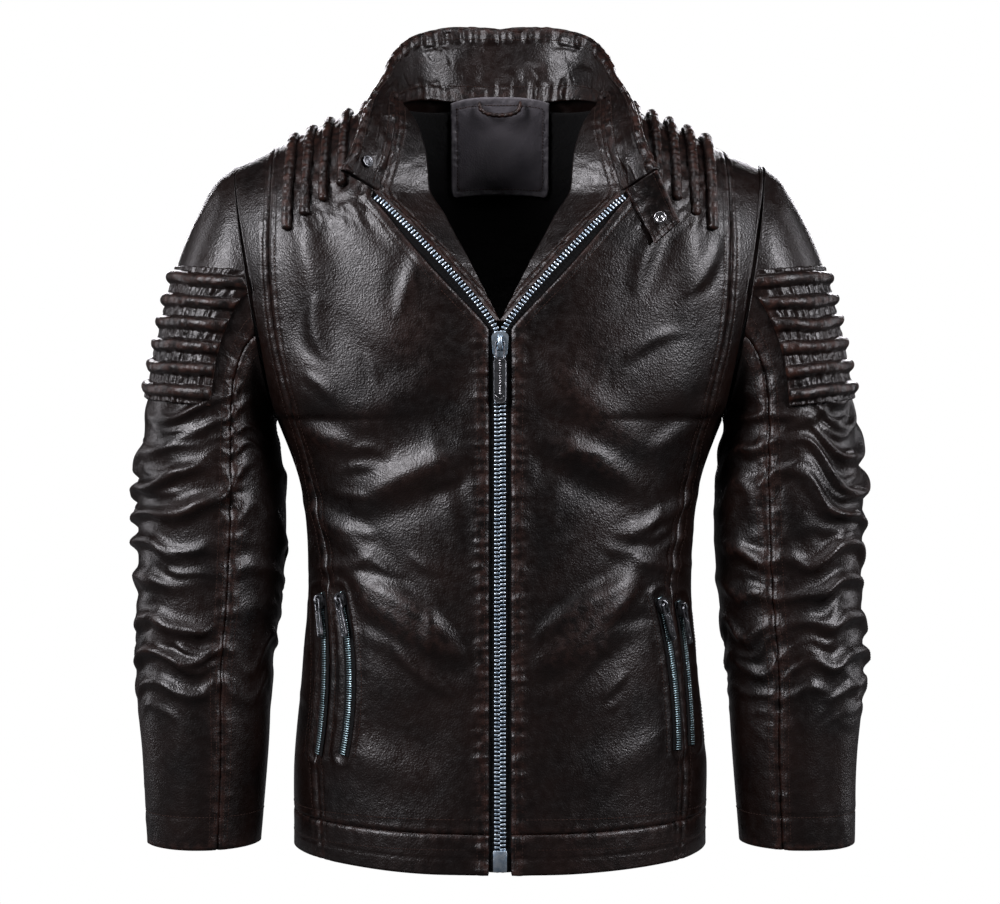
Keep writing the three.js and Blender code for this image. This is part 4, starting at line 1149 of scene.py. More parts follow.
@dataclass(frozen=True)
class Leather:
    """Glazed leather, nearly black, rubbed back to red-brown where it is handled."""

    name: str
    grain: bpy.types.NodeTree
    deep: tuple[float, float, float] = (0.0026, 0.0011, 0.0008)
    base: tuple[float, float, float] = (0.0085, 0.0033, 0.0022)
    rubbed: tuple[float, float, float] = (0.0380, 0.0115, 0.0065)
    roughness: float = 0.345
    depth: float = 0.00038

    def material(self) -> bpy.types.Material:
        """The finish as a material."""
        material, tree, shader = fresh_material(self.name)
        grain = placed(tree, self.grain, Depth=1.0)
        rub = tree.nodes.new("ShaderNodeAttribute")
        rub.attribute_name = "wear"
        skin = mixed(tree, ramp(tree, grain.outputs["Mottle"], 0.32, 0.68, 0.0, 1.0), self.deep, self.base)
        patchy = math_node(
            tree, "MULTIPLY", rub.outputs["Fac"], ramp(tree, grain.outputs["Scuff"], 0.42, 0.62, 0.0, 0.8)
        )
        tree.links.new(mixed(tree, patchy, skin, self.rubbed), shader.inputs["Base Color"])
        glaze = ramp(tree, grain.outputs["Scuff"], 0.3, 0.7, self.roughness - 0.06, self.roughness + 0.09)
        tree.links.new(
            math_node(tree, "MULTIPLY_ADD", rub.outputs["Fac"], 0.06, glaze), shader.inputs["Roughness"]
        )
        shader.inputs["Coat Weight"].default_value = 0.06
        shader.inputs["Coat Roughness"].default_value = 0.24
        shader.inputs["Specular IOR Level"].default_value = 0.5
        bumped(tree, shader, grain.outputs["Height"], self.depth, 0.55)
        return material


@dataclass(frozen=True)
class Cloth:
    """Fleece, tape or thread: no gloss, with a nap."""

    name: str
    nap: bpy.types.NodeTree
    dark: tuple[float, float, float]
    light: tuple[float, float, float]
    tufts: float = 260.0
    depth: float = 0.0006
    sheen: float = 0.05

    def material(self) -> bpy.types.Material:
        """The finish as a material."""
        material, tree, shader = fresh_material(self.name)
        nap = placed(tree, self.nap, Tufts=self.tufts)
        shade = ramp(tree, nap.outputs["Shade"], 0.12, 0.42, 0.0, 1.0)
        tree.links.new(mixed(tree, shade, self.dark, self.light), shader.inputs["Base Color"])
        tree.links.new(ramp(tree, nap.outputs["Height"], 0.3, 1.0, 0.82, 0.98), shader.inputs["Roughness"])
        shader.inputs["Sheen Weight"].default_value = self.sheen
        shader.inputs["Specular IOR Level"].default_value = 0.2
        bumped(tree, shader, nap.outputs["Height"], self.depth, 0.8)
        return material


@dataclass(frozen=True)
class Metal:
    """Plated zip metal, tarnished between its bright edges."""

    name: str
    marks: bpy.types.NodeTree
    dark: tuple[float, float, float]
    bright: tuple[float, float, float]
    roughness: float = 0.24

    def material(self) -> bpy.types.Material:
        """The finish as a material."""
        material, tree, shader = fresh_material(self.name)
        marks = placed(tree, self.marks, Scratches=900.0)
        share = ramp(tree, marks.outputs["Tarnish"], 0.36, 0.62, 0.0, 1.0)
        tree.links.new(mixed(tree, share, self.dark, self.bright), shader.inputs["Base Color"])
        rough = ramp(tree, marks.outputs["Tarnish"], 0.3, 0.7, self.roughness + 0.14, self.roughness)
        tree.links.new(rough, shader.inputs["Roughness"])
        shader.inputs["Metallic"].default_value = 1.0
        bumped(tree, shader, marks.outputs["Height"], 0.00005, 0.5)
        return material


class Wardrobe:
    """Every finish of the jacket, made once."""

    def __init__(self) -> None:
        """Makes the node groups and the materials."""
        grain, nap, marks = grain_group(), cloth_group(), metal_group()
        self.leather = Leather("shell_leather", grain).material()
        self.cord = Leather(
            "cord_leather", grain, base=(0.0110, 0.0050, 0.0037), rubbed=(0.050, 0.0150, 0.0080),
            roughness=0.34
        ).material()
        self.label = Leather(
            "label_leather", grain, (0.065, 0.060, 0.069), (0.155, 0.145, 0.158), (0.21, 0.20, 0.21), 0.42
        ).material()
        self.thread = Cloth(
            "seam_thread", nap, (0.012, 0.006, 0.005), (0.052, 0.024, 0.017), 900.0, 0.0001
        ).material()
        self.fleece = Cloth(
            "fleece", nap, (0.0010, 0.0010, 0.0011), (0.0045, 0.0044, 0.0046), 330.0, 0.0012
        ).material()
        self.tape = Cloth(
            "zip_tape", nap, (0.0012, 0.0012, 0.0013), (0.010, 0.0095, 0.010), 900.0, 0.0003
        ).material()
        self.bag = Cloth(
            "pocket_cloth", nap, (0.004, 0.004, 0.0045), (0.016, 0.016, 0.018), 700.0, 0.0002
        ).material()
        self.teeth = Metal("zip_metal", marks, (0.32, 0.42, 0.52), (0.78, 0.90, 1.0), 0.34).material()
        self.pocket_teeth = Metal(
            "pocket_metal", marks, (0.24, 0.36, 0.39), (0.70, 0.90, 0.95), 0.38
        ).material()
        self.gunmetal = Metal("gunmetal", marks, (0.055, 0.057, 0.062), (0.30, 0.31, 0.33), 0.30).material()
        self.bright = Metal("polished_metal", marks, (0.34, 0.34, 0.35), (0.80, 0.80, 0.82), 0.16).material()


def dress(piece: bpy.types.Object, material: bpy.types.Material, slot: str = "") -> bpy.types.Object:
    """Gives a piece its one material; the slot is not used."""
    piece.data.materials.clear()
    piece.data.materials.append(material)
    return piece


# ---------------------------------------------------------------- rows of small pieces


class RowMaker:
    """Geometry Nodes that set one small shape along paths: stitches, teeth, beads."""

    def __init__(self) -> None:
        """Builds the tree once. Its inputs are named sizes."""
        tree = bpy.data.node_groups.new("row_along_path", "GeometryNodeTree")
        face = tree.interface
        face.new_socket(name="Geometry", in_out="INPUT", socket_type="NodeSocketGeometry")
        kinds = {
            "Shape": "NodeSocketObject",
            "Pitch": "NodeSocketFloat",
            "Scale": "NodeSocketVector",
            "Jitter": "NodeSocketFloat",
            "Seed": "NodeSocketInt",
            "Finish": "NodeSocketMaterial",
        }
        self.inputs = {
            label: face.new_socket(name=label, in_out="INPUT", socket_type=kind).identifier
            for label, kind in kinds.items()
        }
        face.new_socket(name="Geometry", in_out="OUTPUT", socket_type="NodeSocketGeometry")
        nodes, link = tree.nodes, tree.links.new
        source, sink = nodes.new("NodeGroupInput"), nodes.new("NodeGroupOutput")
        curve = nodes.new("GeometryNodeMeshToCurve")
        link(source.outputs["Geometry"], curve.inputs[0])
        even = nodes.new("GeometryNodeResampleCurve")
        even.mode = "LENGTH"
        link(curve.outputs[0], even.inputs["Curve"])
        link(source.outputs["Pitch"], even.inputs["Length"])
        shape = nodes.new("GeometryNodeObjectInfo")
        link(source.outputs["Shape"], shape.inputs[0])
        outward = nodes.new("GeometryNodeInputNamedAttribute")
        outward.data_type = "FLOAT_VECTOR"
        outward.inputs[0].default_value = "outward"
        tangent = nodes.new("GeometryNodeInputTangent")
        along = nodes.new("FunctionNodeAlignRotationToVector")
        along.axis = "X"
        link(tangent.outputs[0], along.inputs["Vector"])
        upright = nodes.new("FunctionNodeAlignRotationToVector")
        upright.axis, upright.pivot_axis = "Z", "X"
        link(along.outputs[0], upright.inputs["Rotation"])
        link(outward.outputs[0], upright.inputs["Vector"])
        chance = nodes.new("FunctionNodeRandomValue")
        chance.data_type = "FLOAT_VECTOR"
        low, high = nodes.new("ShaderNodeMath"), nodes.new("ShaderNodeMath")
        low.operation, high.operation = "SUBTRACT", "ADD"
        low.inputs[0].default_value = high.inputs[0].default_value = 1.0
        link(source.outputs["Jitter"], low.inputs[1])
        link(source.outputs["Jitter"], high.inputs[1])
        link(low.outputs[0], chance.inputs[0])
        link(high.outputs[0], chance.inputs[1])
        link(source.outputs["Seed"], chance.inputs["Seed"])
        size = nodes.new("ShaderNodeVectorMath")
        size.operation = "MULTIPLY"
        link(source.outputs["Scale"], size.inputs[0])
        link(chance.outputs[0], size.inputs[1])
        copies = nodes.new("GeometryNodeInstanceOnPoints")
        link(even.outputs[0], copies.inputs["Points"])
        link(shape.outputs["Geometry"], copies.inputs["Instance"])
        link(upright.outputs[0], copies.inputs["Rotation"])
        link(size.outputs[0], copies.inputs["Scale"])
        real = nodes.new("GeometryNodeRealizeInstances")
        link(copies.outputs[0], real.inputs[0])
        finish = nodes.new("GeometryNodeSetMaterial")
        link(real.outputs[0], finish.inputs["Geometry"])
        link(source.outputs["Finish"], finish.inputs["Material"])
        link(finish.outputs[0], sink.inputs[0])
        self.tree = tree

    def row(
        self, name: str, paths: Sequence[tuple[Array, Array]], shape: bpy.types.Object, pitch: float,
        material: bpy.types.Material, scale: tuple = (1, 1, 1), jitter: float = 0.0,
    ) -> bpy.types.Object:
        """One piece holding a small shape all along some paths.

        Args:
            name: the piece's name.
            paths: (points, outward directions) of each path, in millimetres above the hem.
            shape: what is set along them, X forward and Z outward.
            pitch: spacing, in millimetres.
            material: the piece's finish.
            scale: size of each copy.
            jitter: how much the copies' sizes vary.

        Returns:
            The new object, a plain mesh.
        """
        points, edges, outward, first = [], [], [], 0
        for path, out in paths:
            points.append(to_frame(path))
            outward.append(np.broadcast_to(out, path.shape))
            edges += [(first + i, first + i + 1) for i in range(len(path) - 1)]
            first += len(path)
        mesh = bpy.data.meshes.new(name + "_path")
        mesh.from_pydata(np.concatenate(points).tolist(), edges, [])
        way = mesh.attributes.new("outward", "FLOAT_VECTOR", "POINT")
        way.data.foreach_set("vector", np.concatenate(outward).astype(np.float32).ravel())
        guide = bpy.data.objects.new(name + "_path", mesh)
        bpy.context.scene.collection.objects.link(guide)
        modifier = guide.modifiers.new("row", "NODES")
        modifier.node_group = self.tree
        values = {
            "Shape": shape, "Pitch": pitch * MM, "Scale": scale, "Jitter": jitter, "Seed": len(name),
            "Finish": material,
        }
        for label, value in values.items():
            modifier[self.inputs[label]] = value
        bpy.context.view_layer.update()
        graph = bpy.context.evaluated_depsgraph_get()
        made = bpy.data.meshes.new_from_object(guide.evaluated_get(graph))
        bpy.data.objects.remove(guide)
        made.polygons.foreach_set("use_smooth", np.ones(len(made.polygons), bool))
        made.name = name
        piece = bpy.data.objects.new(name, made)
        bpy.context.scene.collection.objects.link(piece)
        if not piece.data.materials:
            piece.data.materials.append(material)
        return piece


class SmallShapes:
    """The shapes that rows repeat, X forward and Z outward, in metres."""

    def __init__(self) -> None:
        """Makes each shape once."""
        self.stitch = self.bead("stitch_shape", (1.25, 0.42, 0.36), 5, 4)
        self.dot = self.bead("bead_shape", (1.0, 1.0, 0.7), 10, 6)
        self.tooth = self.tooth_shape("tooth_shape", 1.95, 4.6, 1.7)
        self.small_tooth = self.tooth_shape("small_tooth_shape", 1.15, 5.0, 1.3)

    @staticmethod
    def kept(name: str, work: bmesh.types.BMesh) -> bpy.types.Object:
        """Turns a shape in the making into an object."""
        mesh = bpy.data.meshes.new(name)
        work.to_mesh(mesh)
        work.free()
        thing = bpy.data.objects.new(name, mesh)
        bpy.context.scene.collection.objects.link(thing)
        return thing

    def bead(self, name: str, half: tuple[float, float, float], around: int, along: int) -> bpy.types.Object:
        """A rounded grain of three half sizes, in millimetres."""
        work = bmesh.new()
        bmesh.ops.create_uvsphere(work, u_segments=around, v_segments=along, radius=1.0)
        for vert in work.verts:
            vert.co = Vector((vert.co.z * half[0], vert.co.y * half[1], vert.co.x * half[2])) * MM
        bmesh.ops.recalc_face_normals(work, faces=work.faces)
        return self.kept(name, work)

    def tooth_shape(self, name: str, thick: float, wide: float, deep: float) -> bpy.types.Object:
        """A zip tooth: a soft-edged bar with a narrower head towards +Y."""
        work = bmesh.new()
        bmesh.ops.create_cube(work, size=1.0)
        for vert in work.verts:
            head = 0.72 if vert.co.y > 0 else 1.0
            vert.co = Vector((vert.co.x * thick * head, vert.co.y * wide, vert.co.z * deep)) * MM
        bmesh.ops.bevel(
            work, geom=list(work.edges), offset=0.3 * MM, segments=1, affect="EDGES", clamp_overlap=True
        )
        return self.kept(name, work)

    def drop(self) -> None:
        """Takes the shapes out of the scene once every row is made."""
        for thing in (self.stitch, self.dot, self.tooth, self.small_tooth):
            bpy.data.objects.remove(thing)


# ---------------------------------------------------------------- sub-assemblies


@dataclass
class Workshop:
    """What every sub-assembly is made with."""

    torso: Torso
    wardrobe: Wardrobe
    rows: RowMaker
    shapes: SmallShapes

    def stitches(
        self, name: str, lines: Sequence[tuple[Array, Array]], pitch: float, jitter: float = 0.12
    ) -> bpy.types.Object:
        """A piece of seam stitches, pitch millimetres apart, all along some lines."""
        return self.rows.row(name, lines, self.shapes.stitch, pitch, self.wardrobe.thread, jitter=jitter)


def flipped(sign: Array) -> Array:
    """Factors that carry a point of the wearer's left to the side its sign names."""
    return np.stack([sign, np.ones_like(sign), np.ones_like(sign)], -1)


def spaced(low: float, high: float, step: float) -> Array:
    """Even steps from low to high, about step apart."""
    return np.linspace(low, high, max(2, int(round(abs(high - low) / step)) + 1))


@dataclass
class BodyShell:
    """Fronts, sides, hem bands, back and yoke, with the topstitching along their seams."""

    shop: Workshop
    leather: float = 2.0
    step: float = 2.1
    seam: float = 0.6
    stitch_pitch: float = 3.1

    def sheet_of(
        self, name: str, node: str, side: Side, face: Face, low: Array, high: Array, level: Array,
        columns: int
    ) -> bpy.types.Object:
        """One leather panel between two turns at each level.

        Args:
            name: the piece's name.
            node: the frame's node that it stands for.
            side: which side of the body, or the left for the whole back.
            face: front or back.
            low: first turn at each level, negative on the wearer's right of the back.
            high: last turn at each level.
            level: the levels.
            columns: points across.

        Returns:
            The new object.
        """
        share = np.linspace(0, 1, columns)[None, :]
        turn = low[:, None] * (1 - share) + high[:, None] * share
        rows = np.broadcast_to(level[:, None], turn.shape) if level.ndim == 1 else level
        if face is Face.BACK:
            sign = np.where(turn < 0, -1, 1)
            walls = [self.two_sided(np.abs(turn), rows, sign, lift) for lift in (0.0, -self.leather)]
            wear = self.shop.torso.wear(1, face, walls[0])
        else:
            torso = self.shop.torso
            walls = [torso.skin(side.value, face, turn, rows, lift) for lift in (0.0, -self.leather)]
            wear = torso.wear(side.value, face, torso.point(side.value, face, turn, rows))
        piece = shell(name, walls[0], walls[1], wear)
        dress(piece, self.shop.wardrobe.leather, "shell_leather")
        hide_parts(node)
        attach(piece, "root")
        LOG.info("%s: %d faces", name, len(piece.data.polygons))
        return piece

    def two_sided(self, turn: Array, level: Array, sign: Array, lift: float) -> Array:
        """Back surface over both sides: the relief reads signed X, so it runs on over the centre."""
        torso = self.shop.torso
        base = torso.point(1, Face.BACK, turn, level) * flipped(sign)
        normal = torso.normal(1, Face.BACK, turn, level) * flipped(sign)
        return base + normal * (torso.relief(1, Face.BACK, base) + lift)[..., None]

    def front_levels(self, low: float, high: float) -> Array:
        """Levels of a front, evenly spaced up the cloth."""
        torso = self.shop.torso
        straight = spaced(low, torso.middle, self.step) / torso.middle
        over = spaced(1.0, high, self.step * 0.0072)
        return np.concatenate([straight, over[1:]])

    def fronts(self, side: Side) -> None:
        """Front panel, side panel and hem band of one side."""
        torso, word = self.shop.torso, side.word
        level = self.front_levels(torso.hem_band + self.seam / 2, 2.0)
        edge = torso.turn_at(torso.edge_x(level), level)
        princess = torso.turn_at(torso.princess(torso.height(level)), level)
        gap = self.seam / 300
        self.sheet_of(
            f"front_leather_{word}", f"front_panel_{word}", side, Face.FRONT, edge, princess - gap, level, 84
        )
        flank = np.full_like(level, QUARTER)
        self.sheet_of(
            f"side_leather_{word}", f"side_panel_{word}", side, Face.FRONT, princess + gap, flank, level, 44
        )
        hem = spaced(0, torso.hem_band - self.seam / 2, 1.5) / torso.middle
        edge = torso.turn_at(torso.edge_x(hem), hem)
        self.sheet_of(
            f"hem_leather_{word}", f"hem_band_{word}", side, Face.FRONT, edge, np.full_like(hem, QUARTER),
            hem, 150
        )

    def back(self) -> None:
        """Back panel, yoke and hem band of the back."""
        torso = self.shop.torso
        base = torso.yoke_seam / torso.middle
        gap = self.seam / 2 / torso.middle
        level = spaced(torso.hem_band / torso.middle + gap, base - gap, self.step / torso.middle)
        full = np.full_like(level, QUARTER)
        self.sheet_of("back_leather", "back_panel", Side.LEFT, Face.BACK, -full, full, level, 190)
        hem = spaced(0, torso.hem_band / torso.middle - gap, 1.5 / torso.middle)
        full = np.full_like(hem, QUARTER)
        self.sheet_of("hem_leather_back", "hem_band_back", Side.LEFT, Face.BACK, -full, full, hem, 240)
        share = np.linspace(0, 1, 110)[:, None]
        half = np.concatenate(
            [np.linspace(0, self.neck_turn(0.5), 70), np.linspace(self.neck_turn(0.5), QUARTER, 56)[1:]]
        )
        turn = np.concatenate([-half[:0:-1], half])[None, :]
        top = self.back_top(np.abs(turn))
        level = (base + gap) * (1 - share) + top * share
        turn = np.broadcast_to(turn, level.shape)
        sign = np.where(turn < 0, -1, 1)
        walls = [self.two_sided(np.abs(turn), level, sign, lift) for lift in (0.0, -self.leather)]
        piece = shell("yoke_leather", walls[0], walls[1], torso.wear(1, Face.BACK, walls[0]))
        dress(piece, self.shop.wardrobe.leather, "shell_leather")
        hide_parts("back_yoke")
        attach(piece, "root")

    def neck_turn(self, t: float) -> float:
        """Turn of the neck seam at its share t."""
        torso = self.shop.torso
        x = min(torso.neck_half * math.sin(t * math.pi), torso.neck_half - 0.01)
        return float(torso.turn_at(x, 1.8))

    def back_top(self, turn: Array) -> Array:
        """Highest level of the back at a turn: the neck seam, then the shoulder line."""
        torso = self.shop.torso
        x = torso.point(1, Face.BACK, turn, 1.8)[..., 0]
        inner = np.minimum(x / torso.neck_half, 1)
        depth = torso.hole_half_depth
        depth = depth + (torso.blade_depth - depth) * np.maximum(0, np.cos(turn)) ** 1.7
        seam = np.arccos(np.minimum(1, torso.back_neck_depth * np.sqrt(1 - inner**3) / depth)) / QUARTER
        return np.where(x >= torso.neck_half, 2.0, 1 + seam)

    def front_line(
        self, side: Side, across: Callable[[Array], Array], low: float, high: float
    ) -> tuple[Array, Array]:
        """A line of stitching up one front.

        Args:
            side: which front.
            across: distance from the centre line at each height.
            low: lowest height.
            high: highest height.

        Returns:
            Its points and outward directions.
        """
        torso = self.shop.torso
        z = spaced(low, high, 2.0)
        level = torso.level(z)
        turn = torso.turn_at(across(z), level)
        out = torso.normal(side.value, Face.FRONT, turn, level)
        return torso.skin(side.value, Face.FRONT, turn, level, 0.25), out

    def round_line(self, face: Face, z: float) -> list[tuple[Array, Array]]:
        """Level lines of stitching round one face, one for each side."""
        torso = self.shop.torso
        start = 22.0 if face is Face.FRONT else 0.0
        lines = []
        for side in Side:
            level = np.full(160, z / torso.middle)
            turn = np.linspace(float(torso.turn_at(start, z / torso.middle)), QUARTER - 0.01, 160)
            out = torso.normal(side.value, face, turn, level)
            base = torso.point(side.value, face, turn, level)
            reach = torso.relief(side.value, face, base) + 0.25
            lines.append((base + out * reach[:, None], out))
        return lines

    def stitching(self) -> None:
        """Every row of thread on the body."""
        torso, lines = self.shop.torso, []
        for side in Side:
            for x in (12.4, 18.2):
                lines.append(
                    self.front_line(side, lambda z, x=x: np.full_like(z, x), 6, torso.vee_bottom - 6)
                )
            lines.append(
                self.front_line(
                    side, lambda z: torso.edge_x(torso.level(z)) + 9, torso.vee_bottom + 4, torso.vee_top
                )
            )
            for off in (-5.4, 5.4):
                lines.append(self.front_line(side, lambda z, off=off: torso.princess(z) + off, 34, 520))
            for path in torso.pocket_paths.get(side, []):
                for off in (-11.0, 11.0):
                    lines.append(
                        self.front_line(side, self.beside(path, off), path[:, 1].min(), path[:, 1].max())
                    )
        for face, heights in ((Face.FRONT, (12, torso.hem_band + 6)), (Face.BACK, (12, torso.hem_band + 6))):
            for z in heights:
                lines += self.round_line(face, z)
        for off in (-5.4, 5.4):
            lines += self.round_line(Face.BACK, torso.yoke_seam + off)
        piece = self.shop.stitches("body_stitches", lines, self.stitch_pitch)
        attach(piece, "root")

    @staticmethod
    def beside(path: Array, off: float) -> Callable[[Array], Array]:
        """Distance from the centre line of a line beside a pocket's path."""
        order = np.argsort(path[:, 1])
        return lambda z: np.interp(z, path[order, 1], path[order, 0]) + off

    def build(self) -> None:
        """Makes the body's pieces."""
        for side in Side:
            self.fronts(side)
        self.back()
        self.stitching()


@dataclass
class ShoulderCords:
    """Five leather-covered cords over each shoulder."""

    shop: Workshop
    radius: float = 4.3
    lift: float = 1.6
    front_angle: float = 24.0
    front_step: float = 4.0
    back_angle: float = 28.0

    def cord(self, side: Side, number: int) -> None:
        """One cord, from the front over the crest to the back."""
        torso = self.shop.torso
        x = torso.cord_first + number * torso.cord_pitch
        first = self.front_angle + (torso.cord_count - 1 - number) * self.front_step - 4
        count = 90
        parts, outs = [], []
        for face, angles in (
            (Face.FRONT, np.linspace(first, 89.0, count)),
            (Face.BACK, np.linspace(89.0, self.back_angle, count)),
        ):
            level = 1 + angles / 90
            turn = torso.turn_at(x, level)
            out = torso.normal(side.value, face, turn, level)
            parts.append(torso.point(side.value, face, turn, level) + out * self.lift)
            outs.append(out)
        path, out = np.concatenate(parts), np.concatenate(outs)
        knots = np.linspace(0, 1, len(path))
        kept = np.concatenate([[True], np.linalg.norm(np.diff(path, axis=0), axis=1) > 0.3])
        path, out, knots = path[kept], out[kept], knots[kept]
        run = np.concatenate([[0], np.cumsum(np.linalg.norm(np.diff(path, axis=0), axis=1))])
        even = np.arange(0, run[-1], 1.0)
        path = np.stack([np.interp(even, run, path[:, k]) for k in range(3)], -1)
        out = np.stack([np.interp(even, run, out[:, k]) for k in range(3)], -1)
        angle = np.linspace(0, 2 * np.pi, 14, endpoint=False)
        seed = 400 + 10 * number + side.value
        waves = Noise(seed).at(even[:, None] / 2.6, np.cos(angle)[None] * 0.8) * 0.42
        waves = waves + Noise(seed + 3).at(even[:, None] / 11, np.sin(angle)[None]) * 0.35
        piece = tube(f"shoulder_cord_cover_{side.word}_{number + 1}", path, self.radius + waves, out)
        dress(piece, self.shop.wardrobe.cord, "cord_leather")
        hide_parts(f"shoulder_cord_{side.word}_{number + 1}")
        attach(piece, "root")

    def build(self) -> None:
        """Makes the ten cords."""
        for side in Side:
            for number in range(self.shop.torso.cord_count):
                self.cord(side, number)


@dataclass
class Sleeve:
    """One sleeve: outer and inner leather, lining, ribbed panel and stitching."""

    shop: Workshop
    side: Side
    leather: float = 2.0
    lining_inset: float = 6.4
    rib_top: float = 478.0
    rib_pitch: float = 18.4
    rib_count: int = 6
    rib_height: float = 5.2
    rib_angle: float = math.radians(93)
    bend_length: float = 85.0
    stitch_pitch: float = 3.1

    def __post_init__(self) -> None:
        """Sets up the sleeve's form."""
        self.form = SleeveForm(self.side)
        self.rings = np.concatenate(
            [np.linspace(0, 5, 150), np.linspace(5, 8.5, 100)[1:], np.linspace(8.5, 11, 44)[1:]]
        )

    def joined(self, piece: bpy.types.Object) -> None:
        """Bends a piece from the armhole into the sleeve."""
        torso, sign = self.shop.torso, self.side.value
        root = to_frame(np.array([sign * (torso.shoulder_half + torso.armpit_half) / 2, 0, torso.middle]))
        way = unit(np.array([sign * 0.96, 0, -0.28]))
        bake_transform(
            piece, "root", f"sleeve_{self.side.word}", start=root, end=root + way * self.bend_length * MM
        )

    def panel(self, name: str, node: str, angles: Array) -> None:
        """One leather panel of the sleeve."""
        angle, ring = np.meshgrid(angles, self.rings)
        outer, inner = self.form.skin(angle, ring), self.form.skin(angle, ring, -self.leather)
        piece = shell(f"{name}_{self.side.word}", outer, inner, self.form.wear(angle, ring))
        dress(piece, self.shop.wardrobe.leather, "shell_leather")
        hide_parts(node)
        self.joined(piece)
        LOG.info("%s: %d faces", piece.name, len(piece.data.polygons))

    def lining(self) -> None:
        """The fleece tube inside the sleeve."""
        angle, ring = np.meshgrid(np.linspace(0, 2 * np.pi, 72, endpoint=False), np.linspace(0.1, 9.6, 110))
        tufts = 0.5 * Noise(81).at(angle * 14, ring * 12)
        walls = [
            self.form.point(angle, ring, self.lining_inset),
            self.form.point(angle, ring, self.lining_inset + 2.4)
        ]
        normal = self.form.normal(angle, ring)
        piece = shell(
            f"sleeve_fleece_{self.side.word}", walls[0], walls[1] + normal * tufts[..., None], None,
            looped=True
        )
        dress(piece, self.shop.wardrobe.fleece, "fleece")
        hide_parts(f"sleeve_lining_{self.side.word}")
        self.joined(piece)

    def rib_surface(self, angle: Array, z: Array, lift: Array) -> Array:
        """A point over the ribbed panel's place on the sleeve."""
        ring = self.form.ring_at(angle, z - 9 * np.abs(angle) / self.rib_angle)
        return self.form.point(angle, ring) + self.form.normal(angle, ring) * lift[..., None]

    def ribs(self) -> None:
        """The panel of raised cords with ruched leather between them."""
        bottom, top = (
            self.rib_top - self.rib_pitch * (self.rib_count - 0.5), self.rib_top + self.rib_pitch / 2
        )
        angle, z = np.meshgrid(
            np.linspace(-self.rib_angle, self.rib_angle, 160), np.linspace(bottom, top, 112)
        )
        arc = angle * 66
        wave = 1.5 * Noise(self.form.seed + 20).at(arc / 34, z / 40)
        phase = (z + wave - self.rib_top) / self.rib_pitch
        cord = np.clip(1 - (np.abs(phase - np.round(phase)) / 0.29) ** 2, 0, 1) ** 0.5
        valley = 1 - smoothstep(cord, 0.1, 0.7)
        pleats = (
            Noise(self.form.seed + 21).at(arc / 3.0, z / 9)
            + 0.6 * Noise(self.form.seed + 22).at(arc / 1.9, z / 5)
        )
        height = 2.6 + self.rib_height * cord + valley * 1.25 * pleats
        height += cord * (
            0.55 * Noise(self.form.seed + 23).at(arc / 4.2, z / 12) + 0.4 * Noise(3).at(arc / 17, z / 9)
        )
        edge = np.minimum(1, (self.rib_angle - np.abs(angle)) * 66 / 7)
        height = 1.2 + (height - 1.2) * (0.25 + 0.75 * np.sqrt(np.clip(edge, 0, 1)))
        outer = self.rib_surface(angle, z, height)
        inner = self.rib_surface(angle, z, np.full_like(height, 0.3))
        wear = np.clip(
            0.75 * cord * smoothstep(cord, 0.6, 1) + 0.5 * bell((self.rib_angle - np.abs(angle)) * 66, 5),
            0, 1
        )
        piece = shell(f"sleeve_ribs_{self.side.word}", outer, inner, wear)
        dress(piece, self.shop.wardrobe.cord, "cord_leather")
        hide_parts(f"sleeve_rib_panel_{self.side.word}")
        self.joined(piece)

    def stitching(self) -> None:
        """Thread along the sleeve's seams and round the cuff."""
        lines = []
        for seam in (-self.form.seam_angle, self.form.seam_angle):
            for off in (-9.5, -4.6, 4.6, 9.5):
                ring = np.linspace(0.1, 10.6, 300)
                angle = np.full_like(ring, seam + off / 62)
                out = self.form.normal(angle, ring)
                lines.append((self.form.skin(angle, ring, 0.25), out))
        angle = np.linspace(0, 2 * np.pi, 260)
        ring = self.form.ring_at(angle, np.full_like(angle, 30.0))
        lines.append((self.form.skin(angle, ring, 0.25), self.form.normal(angle, ring)))
        piece = self.shop.stitches(f"sleeve_stitches_{self.side.word}", lines, self.stitch_pitch)
        self.joined(piece)

    def build(self) -> None:
        """Makes the sleeve's pieces."""
        seam, word = self.form.seam_angle, self.side.word
        gap = 0.3 / 60
        self.panel("sleeve_top", f"sleeve_outer_{word}", np.linspace(-seam + gap, seam - gap, 116))
        self.panel(
            "sleeve_under", f"sleeve_inner_{word}", np.linspace(seam + gap, 2 * np.pi - seam - gap, 60)
        )
        self.lining()
        self.ribs()
        self.stitching()


